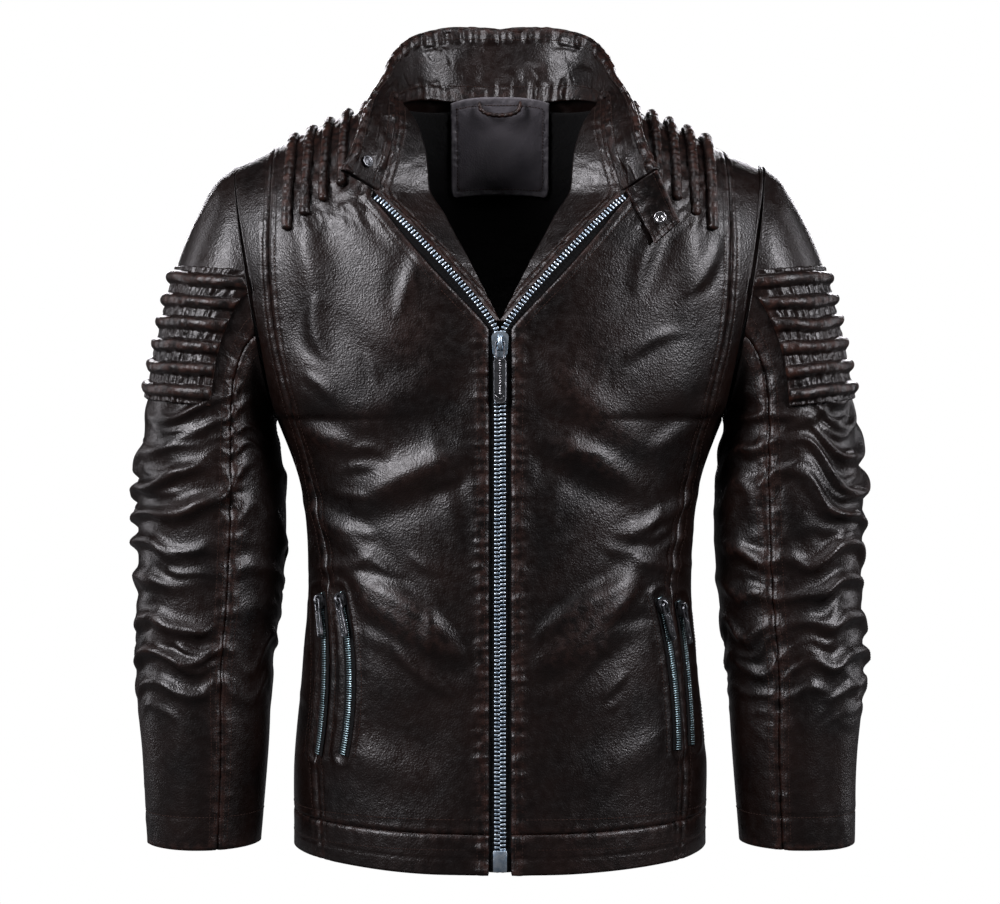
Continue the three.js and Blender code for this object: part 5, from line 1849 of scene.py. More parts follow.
@dataclass
class Collar:
    """Stand collar of two leaves, its tab on the wearer's left, and their stitching."""

    shop: Workshop
    roll: float = 1.9
    tab_thick: float = 3.0
    tab_lift: float = 6.0
    stitch_pitch: float = 3.1
    tab_pitch: float = 2.9
    tab_tip: tuple = ((121, 500), (140, 521))

    def __post_init__(self) -> None:
        """Sets up the collar's form."""
        self.form = CollarForm(self.shop.torso)
        self.inner_depth = self.form.leaf + self.form.gap

    def outer(self) -> None:
        """The outer leaf, rolled over the free edge on to the inner side."""
        form = self.form
        along = np.linspace(-form.end, form.end, 420)
        s, v = np.meshgrid(along, np.linspace(0, 1, 46))
        walls = []
        for depth, radius in ((0.0, self.roll), (form.leaf, self.roll - form.leaf + 0.1)):
            face = form.skin(s, v, depth, 71, -1)
            edge_s = np.broadcast_to(along, (9, len(along)))
            edge = form.skin(edge_s, np.ones_like(edge_s), 0.0, 71, -1)
            up = unit(
                form.point(edge_s, np.ones_like(edge_s)) - form.point(edge_s, np.full_like(edge_s, 0.9))
            )
            inward = form.normal(edge_s, np.ones_like(edge_s))
            swing = np.linspace(0.12, 1, 9)[:, None, None] * np.pi
            middle = edge + inward * self.roll
            wrap = middle + up * radius * np.sin(swing) - inward * radius * np.cos(swing)
            tail = wrap[-1:] - up[-1:] * 3.2 + inward[-1:] * 0.5
            walls.append(np.concatenate([face, wrap, tail]))
        wear = np.concatenate([form.wear(s, v), np.ones((10, len(along)))])
        piece = shell("collar_outside", walls[0], walls[1], wear)
        dress(piece, self.shop.wardrobe.leather, "shell_leather")
        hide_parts("collar_outer")
        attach(piece, "root")

    def inner(self) -> None:
        """The inner leaf, gathered at the neck seam."""
        form = self.form
        s, v = np.meshgrid(np.linspace(-form.end, form.end, 380), np.linspace(-0.11, 0.985, 48))
        shown = form.skin(s, v, self.inner_depth + form.leaf - 0.6, 75, 1)
        hidden = form.point(s, v) + form.normal(s, v) * self.inner_depth
        piece = shell("collar_inside", shown, hidden, form.wear(s, v))
        dress(piece, self.shop.wardrobe.leather, "shell_leather")
        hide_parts("collar_inner")
        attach(piece, "root")

    def tab_point(self, u: Array, v: Array, lift: Array | float) -> Array:
        """A point of the tab, lifted off its middle towards the shown side."""
        form, torso = self.form, self.shop.torso
        ends = []
        for corner in (0.0, 1.0):
            s = np.array(form.end + 0.003)
            ends.append(form.point(s, np.array(corner)) + form.normal(s, np.array(corner)) * self.inner_depth)
        tips = [
            torso.at_x(1, Face.FRONT, np.array(float(x)), torso.level(np.array(float(z))), -self.tab_lift)
            for x, z in self.tab_tip
        ]
        u, v = u[..., None], (0.014 + 0.986 * v)[..., None]
        place = (ends[0] * (1 - u) + ends[1] * u) * (1 - v) + (tips[0] * (1 - u) + tips[1] * u) * v
        normal = unit(np.cross(ends[1] - ends[0], (tips[0] + tips[1] - ends[0] - ends[1]) / 2))
        if normal[1] > 0:
            normal = -normal
        return place + normal * np.asarray(lift)[..., None]

    def tab(self) -> None:
        """The pointed tab, its edges turned and stitched."""
        u, v = np.meshgrid(np.linspace(0, 1, 56), np.linspace(0, 1, 60))
        rim = np.minimum(np.minimum(u, 1 - u) * 56, (1 - v) * 52)
        puff = 0.7 * smoothstep(rim, 0, 4) - 0.45 * bell(rim - 4.5, 0.9) + 0.4 * Noise(91).at(u * 9, v * 9)
        puff += 0.45 * bell(rim - 2, 2.4) * Noise(92).at(u * 14, v * 14)
        top, under = (
            self.tab_point(u, v, self.tab_thick / 2 - 0.5 + puff),
            self.tab_point(u, v, -self.tab_thick / 2 + 0 * u)
        )
        piece = shell("collar_tab_leather", top, under, np.clip(0.9 * bell(rim, 3) + 0.15, 0, 1), bulge=0.4)
        dress(piece, self.shop.wardrobe.leather, "shell_leather")
        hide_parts("collar_tab")
        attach(piece, "tab")
        track = [(0.09, t) for t in np.linspace(0, 0.9, 30)] + [(t, 0.905) for t in np.linspace(0.1, 0.9, 20)]
        track += [(0.91, t) for t in np.linspace(0.9, 0, 30)]
        u, v = np.array(track).T
        points = self.tab_point(u, v, np.full_like(u, self.tab_thick / 2 + 0.15))
        out = unit(self.tab_point(u, v, np.ones_like(u)) - self.tab_point(u, v, np.zeros_like(u)))
        row = self.shop.stitches("collar_tab_stitches", [(points, out)], self.tab_pitch, 0.1)
        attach(row, "tab")

    def stitching(self) -> None:
        """Rows of thread inside the free edge and along the neck seam, on both leaves."""
        form, lines = self.form, []
        s = np.linspace(-form.end + 0.01, form.end - 0.01, 400)
        for height, proud, depth, seed in (
            (0.83, 1, self.inner_depth + form.leaf - 0.6, 75),
            (0.13, 1, self.inner_depth + form.leaf - 0.6, 75),
            (0.83, -1, 0.0, 71), (0.13, -1, 0.0, 71),
        ):
            v = np.full_like(s, height)
            out = form.normal(s, v) * proud
            lines.append((form.skin(s, v, depth, seed, proud) + out * 0.25, out))
        row = self.shop.stitches("collar_stitches", lines, self.stitch_pitch)
        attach(row, "root")

    def build(self) -> None:
        """Makes the collar's pieces and finishes its snaps."""
        self.outer()
        self.inner()
        self.tab()
        self.stitching()
        wardrobe = self.shop.wardrobe
        snap("tab_snap_cap", wardrobe.bright, wardrobe)
        snap("collar_snap_stud", wardrobe.gunmetal, wardrobe)


def softened(values: Array, reach: int) -> Array:
    """Values averaged with their neighbours along the first axis, the ends held."""
    kernel = np.hanning(2 * reach + 3)[1:-1]
    pads = [(reach, reach)] + [(0, 0)] * (values.ndim - 1)
    wide = np.pad(values, pads, mode="reflect", reflect_type="odd")
    return sum(k * wide[i : i + len(values)] for i, k in enumerate(kernel)) / kernel.sum()


def body_of_node(node: str) -> str:
    """The body that carries a CAD node."""
    return frame["nodes"][node]["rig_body"]


def snap(node: str, metal: bpy.types.Material, wardrobe: Wardrobe) -> bpy.types.Object:
    """A pressed snap in place of its plain node: rolled rim, sunk well and a raised eye.

    Args:
        node: the CAD node.
        metal: the rim's finish.
        wardrobe: not used.

    Returns:
        The snap.
    """
    points = np.array([from_frame(v.co) for v in frame["nodes"][node].data.vertices])
    low, high = points.min(axis=0), points.max(axis=0)
    centre = (low + high) / 2
    spread = np.linalg.svd(points - points.mean(axis=0))[2]
    out = spread[2] if spread[2][1] < 0 else -spread[2]
    across = unit(np.cross(np.array([0.0, 0, 1.0]), out))
    up = np.cross(out, across)
    flat = points - centre
    radius = float(np.max(np.hypot(flat @ across, flat @ up)))
    front, back = float(np.max(flat @ out)), float(np.min(flat @ out))
    share = [
        (0, 0.1), (0.2, 0.1), (0.3, 0.0), (0.36, -0.45), (0.52, -0.5), (0.6, -0.1), (0.68, 0.3), (0.8, 0.42)
    ]
    share += [(0.9, 0.32), (0.98, 0.0), (1.0, -0.4), (0.96, -0.8)]
    turns = np.linspace(0, 2 * np.pi, 40, endpoint=False)
    rows = []
    for reach, height in share + [(0.9, None)]:
        depth = back if height is None else front - 0.35 + height * 0.8
        ring = np.outer(np.cos(turns), across) + np.outer(np.sin(turns), up)
        rows.append(centre + ring * radius * max(reach, 0.02) + out * depth)
    grid = np.array(rows)
    faces = [
        (i * 40 + j, i * 40 + (j + 1) % 40, (i + 1) * 40 + (j + 1) % 40, (i + 1) * 40 + j)
        for i in range(len(rows) - 1) for j in range(40)
    ]
    faces += [tuple(range(39, -1, -1)), tuple((len(rows) - 1) * 40 + j for j in range(40))]
    piece = mesh_piece(f"{node}_pressed", grid.reshape(-1, 3), faces)
    dress(piece, metal, "zip_metal")
    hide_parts(node)
    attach(piece, body_of_node(node))
    return piece


def copied(node: str, name: str, material: bpy.types.Material, slot: str, soften: float) -> bpy.types.Object:
    """A merged copy of a hard CAD node with softened edges, standing for it.

    Args:
        node: the CAD node.
        name: the new piece's name.
        material: its finish.
        slot: not used.
        soften: width of the softened edges, in millimetres.

    Returns:
        The new object.
    """
    work = bmesh.new()
    work.from_mesh(frame["nodes"][node].data)
    bmesh.ops.remove_doubles(work, verts=work.verts, dist=1e-6)
    bmesh.ops.dissolve_limit(work, angle_limit=math.radians(2), verts=work.verts, edges=work.edges)
    mesh = bpy.data.meshes.new(name)
    work.to_mesh(mesh)
    work.free()
    piece = bpy.data.objects.new(name, mesh)
    bpy.context.scene.collection.objects.link(piece)
    bevel = piece.modifiers.new("soft_edges", "BEVEL")
    bevel.width, bevel.segments, bevel.limit_method = soften * MM, 2, "ANGLE"
    bevel.angle_limit = math.radians(28)
    bevel.harden_normals = False
    mesh.polygons.foreach_set("use_smooth", np.ones(len(mesh.polygons), bool))
    dress(piece, material, slot)
    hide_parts(node)
    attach(piece, body_of_node(node))
    return piece


@dataclass
class NeckInside:
    """Fleece lining of the body, front facings, label and hanger loop."""

    shop: Workshop
    inset: float = 8.2
    lining: float = 3.0
    base: float = 20.0
    label_half: float = 46.0
    label_height: float = 82.0
    label_top: float = 643.0
    label_gap: float = 1.6
    label_thick: float = 1.6
    facing_width: float = 43.0
    tuck: float = 5.0
    facing_turn: float = 0.46
    facing_pitch: float = 3.0
    label_pitch: float = 2.8

    def front_lining(self, side: Side) -> None:
        """Fleece behind one front."""
        torso = self.shop.torso
        level = np.linspace(self.base / torso.middle, 1.9, 130)
        low = torso.turn_at(torso.edge_x(level) + 13.5, level)[:, None]
        share = np.linspace(0, 1, 44)[None, :]
        turn = low + (QUARTER - 0.004 - low) * share
        rows = np.broadcast_to(level[:, None], turn.shape)
        walls = [
            torso.point(side.value, Face.FRONT, turn, rows, self.inset + off) for off in (0.0, self.lining)
        ]
        tuft = 0.7 * Noise(61).at(walls[1][..., 0] / 5, walls[1][..., 2] / 5)
        walls[1] = walls[1] + torso.normal(side.value, Face.FRONT, turn, rows) * tuft[..., None]
        self.finish(f"front_fleece_{side.word}", f"lining_front_{side.word}", walls)

    def back_level(self, z: Array) -> Array:
        """Level of the back at height z on the centre line, under the label."""
        torso = self.shop.torso
        top = float(torso.shoulder_line(np.array(0.0), Face.BACK)) - self.inset - self.lining - self.label_gap
        return 1 + np.arcsin((z - torso.middle) / (top - torso.middle)) / QUARTER

    def back_lining(self, shell_maker: BodyShell) -> None:
        """Fleece of the back, in one piece up to just under the neck seam."""
        torso = self.shop.torso
        turn = np.linspace(-QUARTER + 0.004, QUARTER - 0.004, 110)[None, :]
        sideways = smoothstep(np.abs(turn), 0, shell_maker.neck_turn(0.45))
        top = shell_maker.back_top(np.abs(turn)) - (0.012 + 0.06 * sideways)
        share = np.linspace(0, 1, 130)[:, None]
        level = self.base / torso.middle * (1 - share) + top * share
        turn = np.broadcast_to(turn, level.shape)
        mirror = flipped(np.where(turn < 0, -1, 1))
        walls = [
            torso.point(1, Face.BACK, np.abs(turn), level, self.inset + off) * mirror
            for off in (0.0, self.lining)
        ]
        tuft = 0.7 * Noise(62).at(walls[1][..., 0] / 5, walls[1][..., 2] / 5)
        walls[1] = walls[1] + torso.normal(1, Face.BACK, np.abs(turn), level) * mirror * tuft[..., None]
        self.finish("back_fleece", "lining_back", walls)

    def finish(self, name: str, node: str, walls: list) -> None:
        """Dresses a piece of the lining."""
        piece = shell(name, walls[0], walls[1])
        dress(piece, self.shop.wardrobe.fleece, "fleece")
        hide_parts(node)
        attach(piece, "root")

    def facing(self, side: Side) -> None:
        """Leather facing inside the open vee, turned back towards the neck."""
        torso = self.shop.torso
        half = torso.chain_half / 2
        z = np.linspace(torso.vee_bottom + 8, torso.neck_side - 3, 150)[:, None]
        u = np.linspace(0, 1, 48)[None, :]
        t = torso.vee_share(z)
        fade = np.clip((z - torso.vee_top) / (torso.neck_side - torso.vee_top), 0, 1)
        width = softened(self.facing_width * t**1.3 * (1 - fade) ** 0.8 + 2, 14)
        edge = np.where(z > torso.vee_top, torso.neck_edge(z) - 1, torso.teeth_x(z) - half - 1.2)
        root = softened(torso.at_x(side.value, Face.FRONT, np.maximum(edge, 1), torso.level(z), 1.0), 14)
        tuck = self.tuck * smoothstep(z, torso.vee_top - 6, torso.vee_top + 10)
        reach = (width + tuck) * u - tuck
        pucker = (
            Noise(64).at(reach / 9, z / 4.2) * (0.8 * bell(reach - 6, 5) + 0.25)
            + 1.2 * Noise(65).at(reach / 30, z / 30)
        )
        pucker = pucker * smoothstep(reach, 0, 5) - 0.5 * (bell(reach - 5, 0.8) + bell(reach - 9.5, 0.8))
        shown = root + np.stack(
            [-side.value * reach, self.facing_turn * reach - 0 * z, 0 * reach + 0 * z], -1
        )
        lean = unit(np.array([-side.value * self.facing_turn, -1.0, 0.0]))
        shown = shown + lean * pucker[..., None]
        back = root + np.stack(
            [
                -side.value * reach + side.value * 0.5, self.facing_turn * reach + 1.7 + 0 * z,
                0 * reach + 0 * z
            ], -1
        )
        wear = np.clip(0.9 * bell(reach, 5) + 0.35 * bell(reach - 7, 4) + 0 * z, 0, 1)
        piece = shell(f"front_facing_leather_{side.word}", shown, back, wear)
        dress(piece, self.shop.wardrobe.leather, "shell_leather")
        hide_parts(f"front_facing_{side.word}")
        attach(piece, "root")
        lines = []
        for off in (5.0, 9.5):
            column = np.abs(reach - off).argmin(axis=1)
            keep = np.nonzero(reach[:, -1] > off + 1)[0]
            points = shown[keep, column[keep]] + lean * 0.25
            lines.append((points, np.broadcast_to(lean, points.shape)))
        row = self.shop.stitches(f"facing_stitches_{side.word}", lines, self.facing_pitch)
        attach(row, "root")

    def label(self) -> None:
        """The blank patch sewn to the lining, its border puckered by the stitching."""
        torso = self.shop.torso
        inset = self.inset + self.lining + self.label_gap
        u, v = np.meshgrid(np.linspace(-1, 1, 84), np.linspace(0, 1, 76))
        corner = np.clip((0.09 - v) / 0.09, 0, 1)
        x = u * self.label_half * (1 - 0.085 * (1 - np.sqrt(np.clip(1 - corner**2, 0, 1))))
        z = self.label_top - self.label_height * (1 - v)
        rim = np.minimum(self.label_half - np.abs(x), np.minimum(v, 1 - v) * self.label_height)
        level = self.back_level(z)
        mirror = flipped(np.where(x < 0, -1, 1))
        walls = [
            torso.at_x(1, Face.BACK, np.abs(x), level, inset + off) * mirror
            for off in (0.0, self.label_thick)
        ]
        run = np.where(np.abs(x) > self.label_half - 8, z, x)
        puff = 1.4 * smoothstep(rim, 3, 16) + bell(rim - 3, 3.5) * 0.9 * Noise(66).at(run / 3.2, rim / 5)
        puff += 1.1 * Noise(67).at(x / 22, z / 22) - 0.7 * bell(rim - 5.2, 0.9)
        walls[1] = walls[1] + np.stack([0 * x, -np.maximum(puff, -0.6), 0 * x], -1)
        piece = shell("neck_label_patch", walls[1], walls[0], np.clip(0.6 * bell(rim, 4), 0, 1))
        dress(piece, self.shop.wardrobe.label, "label_leather")
        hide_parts("neck_label")
        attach(piece, "root")
        half, low, high = (
            self.label_half - 5.2, self.label_top - self.label_height + 5.2, self.label_top - 5.2
        )
        track = (
            [(-half, z) for z in np.linspace(high, low + 4, 40)]
            + [(x, low) for x in np.linspace(-half + 4, half - 4, 50)]
        )
        track += [(half, z) for z in np.linspace(low + 4, high, 40)]
        track += [(x, high) for x in np.linspace(half, -half, 50)]
        x, z = np.array(track).T
        points = torso.at_x(1, Face.BACK, np.abs(x), self.back_level(z), inset + self.label_thick + 0.5)
        points = points * flipped(np.where(x < 0, -1, 1))
        out = np.broadcast_to(np.array([0.0, -1.0, 0.0]), points.shape)
        row = self.shop.stitches("neck_label_stitches", [(points, out)], self.label_pitch, 0.1)
        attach(row, "root")

    def hanger(self) -> None:
        """The loop that hangs the jacket on a hook: a rolled leather cord."""
        low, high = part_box("hanger_loop")
        low, high = from_frame(low), from_frame(high)
        middle = (low + high) / 2
        half, drop, radius = (high[0] - low[0]) / 2 - 2, high[2] - low[2] - 3, 2.0
        angle = np.linspace(np.pi, 0, 60)
        across, down = np.cos(angle), np.sin(angle) ** 0.6
        path = np.stack([-across * half, np.full(60, middle[1]), high[2] - 1.2 - down * drop], -1)
        out = np.broadcast_to(np.array([0.0, -1.0, 0.0]), path.shape)
        ring = np.linspace(0, 2 * np.pi, 12, endpoint=False)[None]
        twist = 0.3 * np.sin(np.arange(60)[:, None] * 1.15 + ring)
        piece = tube("hanger_loop_cord", path, radius + twist, out, 12)
        dress(piece, self.shop.wardrobe.cord, "label_leather")
        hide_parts("hanger_loop")
        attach(piece, "loop")

    def build(self, shell_maker: BodyShell) -> None:
        """Makes everything inside the neck."""
        for side in Side:
            self.front_lining(side)
            self.facing(side)
            dress(frame["nodes"][f"pocket_bag_{side.word}"], self.shop.wardrobe.bag)
        self.back_lining(shell_maker)
        self.label()
        self.hanger()


# ---------------------------------------------------------------- zips


@dataclass(frozen=True)
class Place:
    """A hinge and its directions, where a slider and its puller are made."""

    origin: Array
    across: Array
    out: Array
    up: Array

    def at(self, points: Array) -> Array:
        """Local (across, out, up) millimetres to points above the hem."""
        return self.origin + points @ np.stack([self.across, self.out, self.up])


def joint(name: str) -> dict:
    """A joint of the record."""
    return next(j for j in frame["joints"] if j["name"] == name)


def plate(
    name: str, place: Place, outline: Sequence[tuple[float, float]], low: float, high: float, soften: float
) -> bpy.types.Object:
    """A flat plate with softened edges.

    Args:
        name: the piece's name.
        place: where it is made.
        outline: (across, up) corners.
        low: its back, outwards from the hinge.
        high: its front.
        soften: width of the softened edges.

    Returns:
        The new object.
    """
    work = bmesh.new()
    rings = [[work.verts.new(Vector((a, depth, b))) for a, b in outline] for depth in (low, high)]
    work.faces.new(rings[0])
    work.faces.new(rings[1][::-1])
    count = len(outline)
    for i in range(count):
        k = (i + 1) % count
        work.faces.new([rings[0][i], rings[1][i], rings[1][k], rings[0][k]])
    sharp = [e for e in work.edges if e.calc_face_angle(0) > 0.9]
    bmesh.ops.bevel(
        work, geom=sharp, offset=soften, segments=3, profile=0.6, affect="EDGES", clamp_overlap=True
    )
    for vert in work.verts:
        vert.co = Vector(to_frame(place.at(np.array(vert.co))))
    bmesh.ops.recalc_face_normals(work, faces=work.faces)
    mesh = bpy.data.meshes.new(name)
    work.to_mesh(mesh)
    work.free()
    mesh.polygons.foreach_set("use_smooth", np.ones(len(mesh.polygons), bool))
    mesh.set_sharp_from_angle(angle=math.radians(35))
    piece = bpy.data.objects.new(name, mesh)
    bpy.context.scene.collection.objects.link(piece)
    return piece


def joined_up(pieces: Sequence[bpy.types.Object], name: str) -> bpy.types.Object:
    """Several meshes as one piece.

    Args:
        pieces: the meshes, all at the origin.
        name: the joined piece's name.

    Returns:
        The joined object.
    """
    work = bmesh.new()
    for piece in pieces:
        work.from_mesh(piece.data)
    mesh = bpy.data.meshes.new(name)
    work.to_mesh(mesh)
    work.free()
    for piece in pieces:
        bpy.data.objects.remove(piece)
    joined = bpy.data.objects.new(name, mesh)
    bpy.context.scene.collection.objects.link(joined)
    return joined


def rounded(half: float, low: float, high: float, radius: float, turns: int = 6) -> list[tuple[float, float]]:
    """Outline of a rectangle with round corners, across being centred."""
    corners = [(half - radius, high - radius, 0), (radius - half, high - radius, 1)]
    corners += [(radius - half, low + radius, 2), (half - radius, low + radius, 3)]
    points = []
    for x, z, quarter in corners:
        for i in range(turns):
            angle = QUARTER * (quarter + i / (turns - 1))
            points.append((x + radius * math.cos(angle), z + radius * math.sin(angle)))
    return points


@dataclass(frozen=True)
class SliderSize:
    """Sizes of a slider and its puller."""

    half: float
    length: float
    eye_half: float
    eye: float
    bar_half: float
    bar: float
    chevron: bool = False


@dataclass
class ZipHardware:
    """A slider with its bridge, and the puller that hangs from it."""

    shop: Workshop
    name: str
    place: Place
    size: SliderSize
    slider_node: str
    puller_node: str
    metal: bpy.types.Material
    slot: str

    def slider(self) -> None:
        """Face plate with shoulders, flanges and an arched bridge."""
        size, low = self.size, -0.08 * self.size.length
        top, bottom, half = low + size.length / 2, low - size.length / 2, size.half
        outline = [
            (half * 0.42, top), (half * 0.86, top - 1.6), (half, top - 4.2), (half * 0.94, low),
            (half * 0.72, bottom + 1.4), (half * 0.5, bottom), (-half * 0.5, bottom),
            (-half * 0.72, bottom + 1.4),
            (-half * 0.94, low), (-half, top - 4.2), (-half * 0.86, top - 1.6), (-half * 0.42, top),
        ]
        parts = [plate(f"{self.name}_face", self.place, outline, -3.2, -1.6, 0.5)]
        for sign in (-1, 1):
            flange = [
                (sign * half * 0.98, top - 5), (sign * half * 0.78, top - 5),
                (sign * half * 0.7, bottom + 2)
            ]
            flange.append((sign * half * 0.86, bottom + 2))
            parts.append(plate(f"{self.name}_flange", self.place, flange, -5.6, -2.6, 0.25))
        reach = size.length * 0.3
        angle = np.linspace(0, np.pi, 26)
        arch = np.stack([0 * angle, -2.2 + 4.6 * np.sin(angle) ** 0.55, reach * np.cos(angle) * 0.92], -1)
        out = np.broadcast_to(self.place.across, arch.shape)
        section = np.linspace(0, 2 * np.pi, 12, endpoint=False)[None]
        reach_out = 1 / np.sqrt((np.cos(section) / (half * 0.26)) ** 2 + (np.sin(section) / 0.8) ** 2)
        parts.append(tube(f"{self.name}_bridge", self.place.at(arch), reach_out * np.ones((26, 1)), out, 12))
        piece = joined_up(parts, f"{self.name}_slider_cast")
        dress(piece, self.metal, self.slot)
        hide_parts(self.slider_node)
        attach(piece, body_of_node(self.slider_node))

    def puller(self) -> None:
        """Eye through the bridge, flat bar with a raised border, beads and a chevron."""
        size, body = self.size, body_of_node(self.puller_node)
        loop = np.array(rounded(size.eye_half - 0.8, -size.eye, 0.8, 1.8, 7))
        loop = np.concatenate([loop, loop[:3]])
        run = np.concatenate([[0], np.cumsum(np.linalg.norm(np.diff(loop, axis=0), axis=1))])
        even = np.linspace(0, run[-1], 70)
        ring = np.stack([np.interp(even, run, loop[:, 0]), 0 * even, np.interp(even, run, loop[:, 1])], -1)
        out = np.broadcast_to(self.place.out, ring.shape)
        parts = [tube(f"{self.name}_eye", self.place.at(ring), 0.85, out, 10)]
        top = -size.eye + 1.6
        low = top - size.bar - 2.6
        outline = rounded(size.bar_half, low, top, size.bar_half * 0.72)
        parts.append(plate(f"{self.name}_bar", self.place, outline, -0.9, 0.6, 0.45))
        edge = np.array(rounded(size.bar_half - 0.7, low + 0.7, top - 0.7, size.bar_half * 0.6, 7))
        edge = np.concatenate([edge, edge[:2]])
        border = np.stack([edge[:, 0], np.full(len(edge), 0.62), edge[:, 1]], -1)
        out = np.broadcast_to(self.place.out, border.shape)
        parts.append(tube(f"{self.name}_border", self.place.at(border), 0.42, out, 8))
        piece = joined_up(parts, f"{self.name}_puller_cast")
        dress(piece, self.shop.wardrobe.gunmetal, "gunmetal")
        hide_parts(self.puller_node)
        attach(piece, body)
        line = np.stack(
            [np.zeros(2), np.full(2, 0.85), np.array([top - 2.5, low + (8 if size.chevron else 3)])], -1
        )
        beads = self.shop.rows.row(
            f"{self.name}_puller_beads", [(self.place.at(line), self.place.out)], self.shop.shapes.dot,
            2.0 if size.chevron else 2.2, self.shop.wardrobe.bright,
            (0.85, 0.95, 0.9) if size.chevron else (0.6, 0.6, 0.6),
        )
        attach(beads, body)
        if size.chevron:
            vee = np.array([(-3.3, 0.9, low + 6.4), (-1.6, 0.95, low + 4.6), (0, 0.95, low + 3.0),
                            (1.6, 0.95, low + 4.6), (3.3, 0.9, low + 6.4)])
            out = np.broadcast_to(self.place.out, vee.shape)
            mark = tube(f"{self.name}_puller_chevron", self.place.at(vee), 0.75, out, 8)
            dress(mark, self.shop.wardrobe.bright, "zip_metal")
            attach(mark, body)

    def build(self) -> None:
        """Makes the slider and the puller."""
        self.slider()
        self.puller()


@dataclass
class FrontZip:
    """Teeth, tapes, slider, puller and retainer box of the front opening."""

    shop: Workshop
    pitch: float = 3.3
    tape_width: float = 20.0
    tape_low: float = -6.0
    low: float = 12.5

    def teeth(self, side: Side) -> None:
        """One row of teeth, heads towards the other row."""
        torso = self.shop.torso
        start = self.low + (self.pitch / 2 if side is Side.RIGHT else 0)
        z = np.linspace(start, torso.vee_top - 1, 700)
        path = torso.at_x(side.value, Face.FRONT, torso.teeth_x(z), torso.level(z), 0.3)
        out = np.broadcast_to(np.array([0.0, -1.0, 0.06]), path.shape)
        if side is Side.RIGHT:
            path = path[::-1]
        row = self.shop.rows.row(
            f"zip_teeth_row_{side.word}", [(path, out)], self.shop.shapes.tooth, self.pitch,
            self.shop.wardrobe.teeth
        )
        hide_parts(f"zip_teeth_{side.word}")
        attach(row, "root")

    def tape(self, side: Side) -> None:
        """One woven tape, with the cord that the teeth are set on."""
        torso, half = self.shop.torso, self.shop.torso.chain_half / 2
        z = np.linspace(self.tape_low, torso.vee_top - 1, 240)[:, None]
        off = np.linspace(0.3 - half, self.tape_width - half, 26)[None, :]
        x = np.maximum(0.3, torso.teeth_x(z) + off)
        level = np.broadcast_to(torso.level(z), x.shape)
        weave = 0.28 * Noise(55).at(off / 1.6, z / 1.6) + 0.3 * Noise(56).at(off / 9, z / 14)
        bead = 0.9 * bell(off, 1.6)
        outer = torso.at_x(side.value, Face.FRONT, x, level, 2.5)
        outer = outer - np.stack([0 * x, weave + bead, 0 * x], -1)
        inner = torso.at_x(side.value, Face.FRONT, x, level, 3.6)
        piece = shell(f"zip_tape_woven_{side.word}", outer, inner)
        dress(piece, self.shop.wardrobe.tape, "zip_tape")
        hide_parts(f"zip_tape_{side.word}")
        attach(piece, "root")

    def build(self) -> None:
        """Makes the front zip."""
        for side in Side:
            self.teeth(side)
            self.tape(side)
        copied("zip_retainer_box", "zip_retainer_box_cast", self.shop.wardrobe.teeth, "zip_metal", 0.7)
        place = Place(
            from_frame(joint("front_puller_hinge")["pos_m"]),
            np.array([1.0, 0, 0]), np.array([0, -1.0, 0]), np.array([0, 0, 1.0]),
        )
        size = SliderSize(6.9, 20, 4, 14, 5.4, 34, chevron=True)
        ZipHardware(
            self.shop, "front_zip", place, size, "front_zip_slider", "front_zip_puller",
            self.shop.wardrobe.teeth, "zip_metal"
        ).build()


